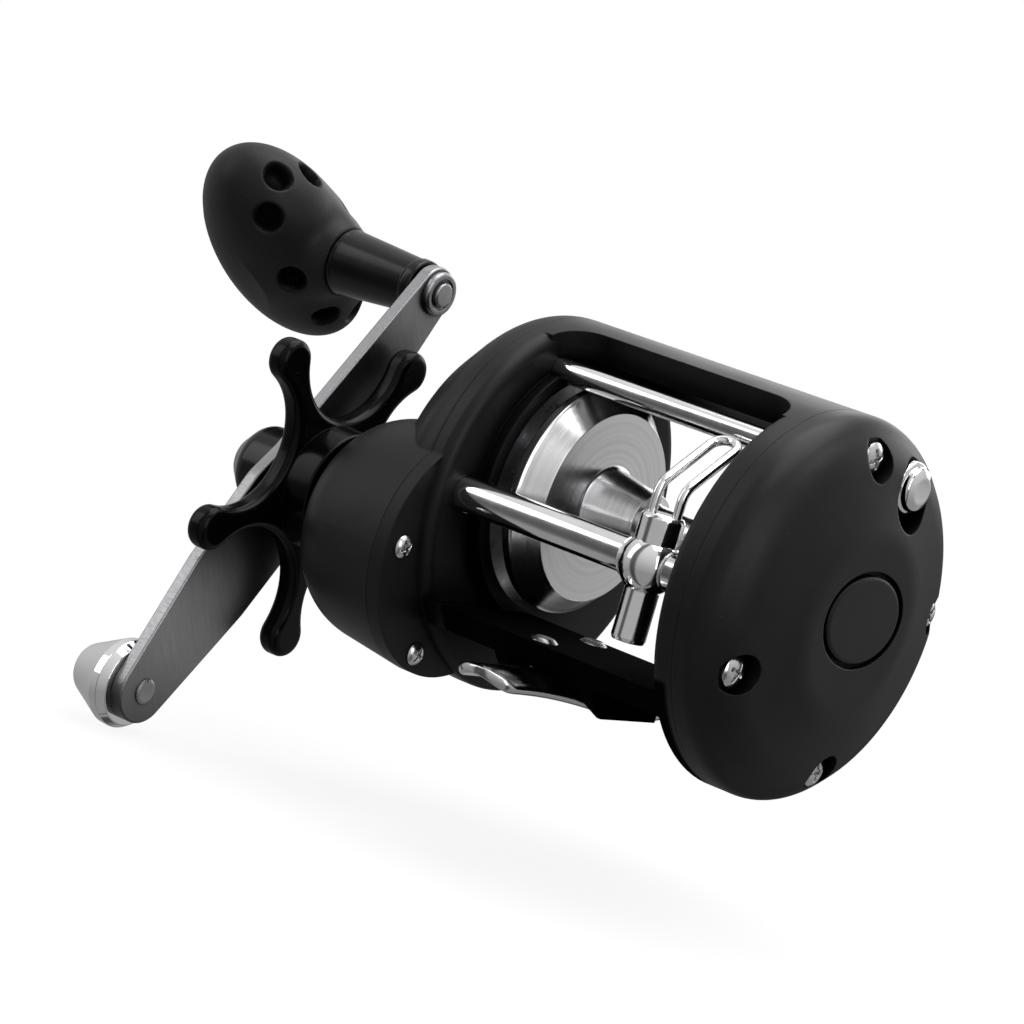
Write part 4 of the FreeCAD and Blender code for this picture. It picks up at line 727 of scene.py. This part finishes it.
def knob():
    """A crosswise oval whose neck flares out of it towards the stem, with finger dimples."""
    deep, long, short, tilt = 16.45, 26.85, 13.6, math.radians(35)
    neck_radius, flare, softness = 7.4, 2.1, 2.4
    dimple_radius, dimple_depth = 3.45, 3.1
    centre = low("knob").x + 16.5
    neck_end = high("knob").x - centre

    def grip(polar, turn):
        """A point of the grip without its dimples, and the way it faces."""
        unit = Vector((math.cos(polar), math.sin(polar) * math.cos(turn), math.sin(polar) * math.sin(turn)))
        point = Vector((deep * unit.x, long * unit.y, short * unit.z))
        normal = Vector((unit.x / deep, unit.y / long, unit.z / short)).normalized()
        if unit.x > 0:
            away = math.hypot(point.y, point.z)
            neck = neck_end - max(0.0, away - neck_radius) * flare - 0.5 * smooth_step((away - 6.6) / 0.9)
            blend = (point.x + neck + math.hypot(point.x - neck, softness)) / 2
            if neck > point.x - 6:
                point.x = min(neck_end - 0.02, max(point.x, blend - 0.3))
        return point, normal

    spots = []
    for index in range(8):
        base = math.radians(45 * index - 4)
        turn = base + math.radians(2 + 7 * math.cos(base - math.radians(235)))
        polar = math.radians(51 + 7 * math.cos(turn + math.radians(20)))
        spots.append(grip(polar, turn)[0])
        spots.append(grip(math.pi - 0.7 * polar, turn)[0])
    place = heading(centre, KNOB, tilt)
    rings, around_count = 220, 360
    bm = bmesh.new()
    loops = []
    for i in range(rings + 1):
        polar = math.pi * i / rings
        if i in (0, rings):
            x = neck_end if i == 0 else -deep
            loops.append([vertex(bm, place, x, 0, 0)])
            continue
        loop = []
        for k in range(around_count):
            turn = 2 * math.pi * k / around_count
            point, normal = grip(polar, turn)
            share = min((point - spot).length for spot in spots) / dimple_radius
            if share < 1.1:
                bowl = smooth_step((1 - share) * 4.5)
                point -= normal * (dimple_depth * bowl + 0.05 * smooth_step((1.1 - share) * 10))
            loop.append(vertex(bm, place, *point))
        loops.append(loop)
    for first, second in zip(loops, loops[1:]):
        bridge(bm, first, second)
    piece("knob_moulded", bm, GRIP_BLACK, "knob", sharp=60)


def foot():
    """A plate bent to the rod's curve, waisted towards both tips, with every edge rounded."""
    front, rear = low("reel_foot").y + 0.02, high("reel_foot").y - 0.02
    inner, outer = 11.0, 13.28
    stations = 120
    bm = bmesh.new()
    loops = []
    for i in range(stations + 1):
        share = 0.5 - 0.5 * math.cos(math.pi * i / stations)
        y = front + (rear - front) * share
        swell = 0.5 - 0.5 * math.cos(2 * math.pi * min(1, max(0, (y - front) / (rear - front))))
        half = 7.3 + 3.52 * swell ** 1.6
        from_tip = min(y - front, rear - y)
        if from_tip < 5:
            half *= math.sqrt(max(0.0, 1 - (1 - from_tip / 5) ** 2.6)) * 0.92 + 0.08
        thin = 1.0 if from_tip > 2.5 else 0.55 + 0.45 * math.sqrt(max(0.0, 1 - (1 - from_tip / 2.5) ** 2))
        half = min(half, high("reel_foot").x - 0.02)
        spread = math.asin(half / outer)
        edge = min(1.0, 0.4 * half)
        flat, lip = spread * (1 - edge / half), spread * edge / half
        top = outer - (1 - thin) * 1.2
        bottom = inner + (1 - thin) * 1.0
        middle, bulge = (top + bottom) / 2, (top - bottom) / 2
        arc = [(flat * (step / 12 - 1), top) for step in range(25)]
        for step in range(1, 8):
            turn = math.pi * step / 8
            arc.append((flat + lip * math.sin(turn), middle + bulge * math.cos(turn)))
        arc += [(flat * (1 - step / 12), bottom) for step in range(25)]
        for step in range(1, 8):
            turn = math.pi - math.pi * step / 8
            arc.append((-flat - lip * math.sin(turn), middle + bulge * math.cos(turn)))
        section = [(radius * math.sin(angle), radius * math.cos(angle)) for angle, radius in arc]
        loops.append([vertex(bm, Matrix(), x, y, z) for x, z in section])
    for first, second in zip(loops, loops[1:]):
        bridge(bm, first, second)
    bm.faces.new(loops[0])
    bm.faces.new(loops[-1])
    piece("reel_foot_bent", bm, FOOT_CHROME, "reel_foot")


def guide_block():
    """A ball sleeve on the tube with a collar above, a post below and a flat at each end."""
    centre = (low("line_guide") + high("line_guide")).x / 2
    y, z = WORM
    bm = bmesh.new()
    ball = [(-5.15, 3.68), (-5.15, 4.0, 0.2)]
    for step in range(1, 20):
        angle = math.pi * (0.18 + 0.64 * step / 20)
        ball.append((-6.05 * math.cos(angle), 6.05 * math.sin(angle)))
    ball += [(5.15, 4.0, 0.2), (5.15, 3.68)]
    lathe(bm, ball, at_x(centre, WORM), 128, closed=True)
    lathe(bm, [(4.2, 0), (4.2, 4.45), (9.0, 4.45, 0.3), (9.75, 3.9, 0.3), (9.75, 0)], at_z(centre, y, z), 96)
    lathe(bm, [(-15.15, 2.52), (-15.15, 3.1, 0.3), (-14.4, 3.38, 0.3), (-4.2, 3.38), (-4.2, 2.5)],
          at_z(centre, y, z), 96)
    piece("guide_sleeve", bm, CHROME, "guide_block")
    bm = bmesh.new()
    cap = [(-15.18, 0), (-15.18, 0.9), (-14.7, 1.0, 0.1), (-14.9, 1.3, 0.1), (-15.15, 2.3, 0.2),
           (-12.3, 2.45), (-12.3, 0)]
    lathe(bm, cap, at_z(centre, y, z), 64)
    piece("pawl_cap_turned", bm, SCREW_STEEL, "pawl_cap")


def wire_guide():
    """Two legs that rise from the collar, lean back towards the guide rod and close in a half round."""
    centre = (low("line_guide") + high("line_guide")).x / 2
    start = high("guide_block").z
    half, radius = 2.9, 0.98
    back, top = high("line_guide").y - 1.0 - WORM[0], high("line_guide").z - 1.2 - start
    rise = 5.2
    lean = math.atan2(back, top - rise)
    slope = Vector((0, math.sin(lean), math.cos(lean)))
    corner = Vector((centre, WORM[0], start + rise))
    end = Vector((centre, WORM[0] + back, start + top)) - slope * half
    path = []
    for side in (-1, 1):
        leg = []
        shift = Vector((side * half, 0, 0))
        foot_point = Vector((centre, WORM[0], start - 2))
        before, after = corner - Vector((0, 0, 2.4)), corner + slope * 2.4
        leg += [foot_point + shift, before + shift]
        for step in range(1, 12):
            t = step / 12
            leg.append((1 - t) ** 2 * before + 2 * t * (1 - t) * corner + t * t * after + shift)
        leg += [after + shift, end + shift]
        path += leg if side < 0 else list(reversed(leg))
        if side < 0:
            for step in range(1, 24):
                turn = math.pi * step / 24
                path.append(end + Vector((-half * math.cos(turn), 0, 0)) + slope * (half * math.sin(turn)))
    bm = bmesh.new()
    tube(bm, path, radius, 24)
    piece("line_guide_wire", bm, CHROME, "line_guide")


for make in (cover_screws, tail_screws, foot_screws, turned_pieces, spool, star_wheel, handle_arm, knob, foot,
             guide_block, wire_guide):
    make()


# ---------------------------------------------------------------- floor, light and camera

def stage():
    """A pale floor that takes a soft shadow near the reel and turns plain white further out."""
    bpy.ops.mesh.primitive_plane_add(size=16, location=(0, 0, cad_low.z - 0.0003))
    floor = bpy.context.object
    floor.name = "floor"
    material = bpy.data.materials.new("floor_white")
    material.use_nodes = True
    tree = material.node_tree
    tree.nodes.clear()
    out = tree.nodes.new("ShaderNodeOutputMaterial")
    paper = tree.nodes.new("ShaderNodeBsdfDiffuse")
    paper.inputs["Color"].default_value = (0.93, 0.93, 0.93, 1)
    glow = tree.nodes.new("ShaderNodeEmission")
    mix = tree.nodes.new("ShaderNodeMixShader")
    coords = tree.nodes.new("ShaderNodeTexCoord")
    length = tree.nodes.new("ShaderNodeVectorMath")
    length.operation = "LENGTH"
    fade = tree.nodes.new("ShaderNodeMapRange")
    fade.interpolation_type = "SMOOTHSTEP"
    fade.inputs["From Min"].default_value = 0.03
    fade.inputs["From Max"].default_value = 0.2
    fade.inputs["To Min"].default_value = 0.84
    tree.links.new(coords.outputs["Object"], length.inputs[0])
    tree.links.new(length.outputs["Value"], fade.inputs["Value"])
    tree.links.new(fade.outputs["Result"], mix.inputs["Fac"])
    tree.links.new(paper.outputs[0], mix.inputs[1])
    tree.links.new(glow.outputs[0], mix.inputs[2])
    tree.links.new(mix.outputs[0], out.inputs["Surface"])
    floor.data.materials.append(material)
    floor.visible_glossy = False
    floor.visible_diffuse = False


def softbox(name, place, width, height, power):
    """A rectangular lamp that faces the middle of the reel."""
    data = bpy.data.lights.new(name, "AREA")
    data.shape = "RECTANGLE"
    data.size, data.size_y, data.energy = width, height, power
    lamp = bpy.data.objects.new(name, data)
    bpy.context.scene.collection.objects.link(lamp)
    target = Vector((-0.01, -0.005, 0.04))
    lamp.location = place
    lamp.rotation_mode = "QUATERNION"
    lamp.rotation_quaternion = (target - Vector(place)).to_track_quat("-Z", "Y")


def light():
    """A studio of white walls with three dark flags, dimmer low down, and four softboxes. The camera
    sees the walls as plain white."""
    world = bpy.data.worlds.new("studio")
    bpy.context.scene.world = world
    world.use_nodes = True
    tree = world.node_tree
    dim = tree.nodes["Background"]
    dim.inputs["Color"].default_value = (1, 1, 1, 1)
    coords = tree.nodes.new("ShaderNodeTexCoord")
    split = tree.nodes.new("ShaderNodeSeparateXYZ")
    rise = tree.nodes.new("ShaderNodeMapRange")
    rise.inputs["From Min"].default_value = -0.5
    rise.inputs["From Max"].default_value = 0.9
    rise.inputs["To Min"].default_value = 0.3
    rise.inputs["To Max"].default_value = 0.85
    tree.links.new(coords.outputs["Generated"], split.inputs[0])
    tree.links.new(split.outputs["Z"], rise.inputs["Value"])
    turn = tree.nodes.new("ShaderNodeMath")
    turn.operation = "ARCTAN2"
    tree.links.new(split.outputs["Y"], turn.inputs[0])
    tree.links.new(split.outputs["X"], turn.inputs[1])
    flags = tree.nodes.new("ShaderNodeValToRGB")
    flags.color_ramp.interpolation = "EASE"
    stops = flags.color_ramp.elements
    stops[0].position, stops[0].color = 0.0, (1, 1, 1, 1)
    stops[1].position, stops[1].color = 1.0, (1, 1, 1, 1)
    shade, core, rim = 0.22, 0.018, 0.05
    for middle in (0.17, 0.45, 0.78):
        for away, value in ((-rim, 1.0), (-core, shade), (core, shade), (rim, 1.0)):
            stops.new(middle + away).color = (value, value, value, 1)
    share = tree.nodes.new("ShaderNodeMapRange")
    share.inputs["From Min"].default_value = -math.pi
    share.inputs["From Max"].default_value = math.pi
    tree.links.new(turn.outputs[0], share.inputs["Value"])
    tree.links.new(share.outputs["Result"], flags.inputs["Fac"])
    product = tree.nodes.new("ShaderNodeMath")
    product.operation = "MULTIPLY"
    tree.links.new(rise.outputs["Result"], product.inputs[0])
    tree.links.new(flags.outputs["Color"], product.inputs[1])
    tree.links.new(product.outputs[0], dim.inputs["Strength"])
    white = tree.nodes.new("ShaderNodeBackground")
    white.inputs["Color"].default_value = (1, 1, 1, 1)
    path = tree.nodes.new("ShaderNodeLightPath")
    mix = tree.nodes.new("ShaderNodeMixShader")
    tree.links.new(path.outputs["Is Camera Ray"], mix.inputs["Fac"])
    tree.links.new(dim.outputs[0], mix.inputs[1])
    tree.links.new(white.outputs[0], mix.inputs[2])
    tree.links.new(mix.outputs[0], tree.nodes["World Output"].inputs["Surface"])
    softbox("overhead", (0.05, 0.1, 0.75), 0.9, 0.6, 5)
    softbox("front_left", (-0.7, -0.6, 0.45), 0.35, 0.8, 1.6)
    softbox("front_right", (0.75, -0.35, 0.3), 0.3, 0.7, 1.6)
    softbox("behind", (-0.1, 0.75, 0.35), 0.9, 0.35, 2)


def camera():
    """A long lens in front of the tail side, a little above the spool."""
    data = bpy.data.cameras.new("camera")
    data.lens, data.sensor_width = 147.66, 36
    data.clip_start, data.clip_end = 0.05, 30
    view = bpy.data.objects.new("camera", data)
    bpy.context.scene.collection.objects.link(view)
    right, up, back = (0.7553, 0.5932, 0.2786), (-0.2899, -0.0786, 0.9538), (0.5878, -0.8011, 0.1126)
    turn = Matrix((right, up, back)).transposed().to_4x4()
    view.matrix_world = Matrix.Translation((0.4581, -0.6766, 0.1307)) @ turn
    bpy.context.scene.camera = view


stage()
light()
camera()
bpy.context.scene.view_settings.view_transform = "Standard"
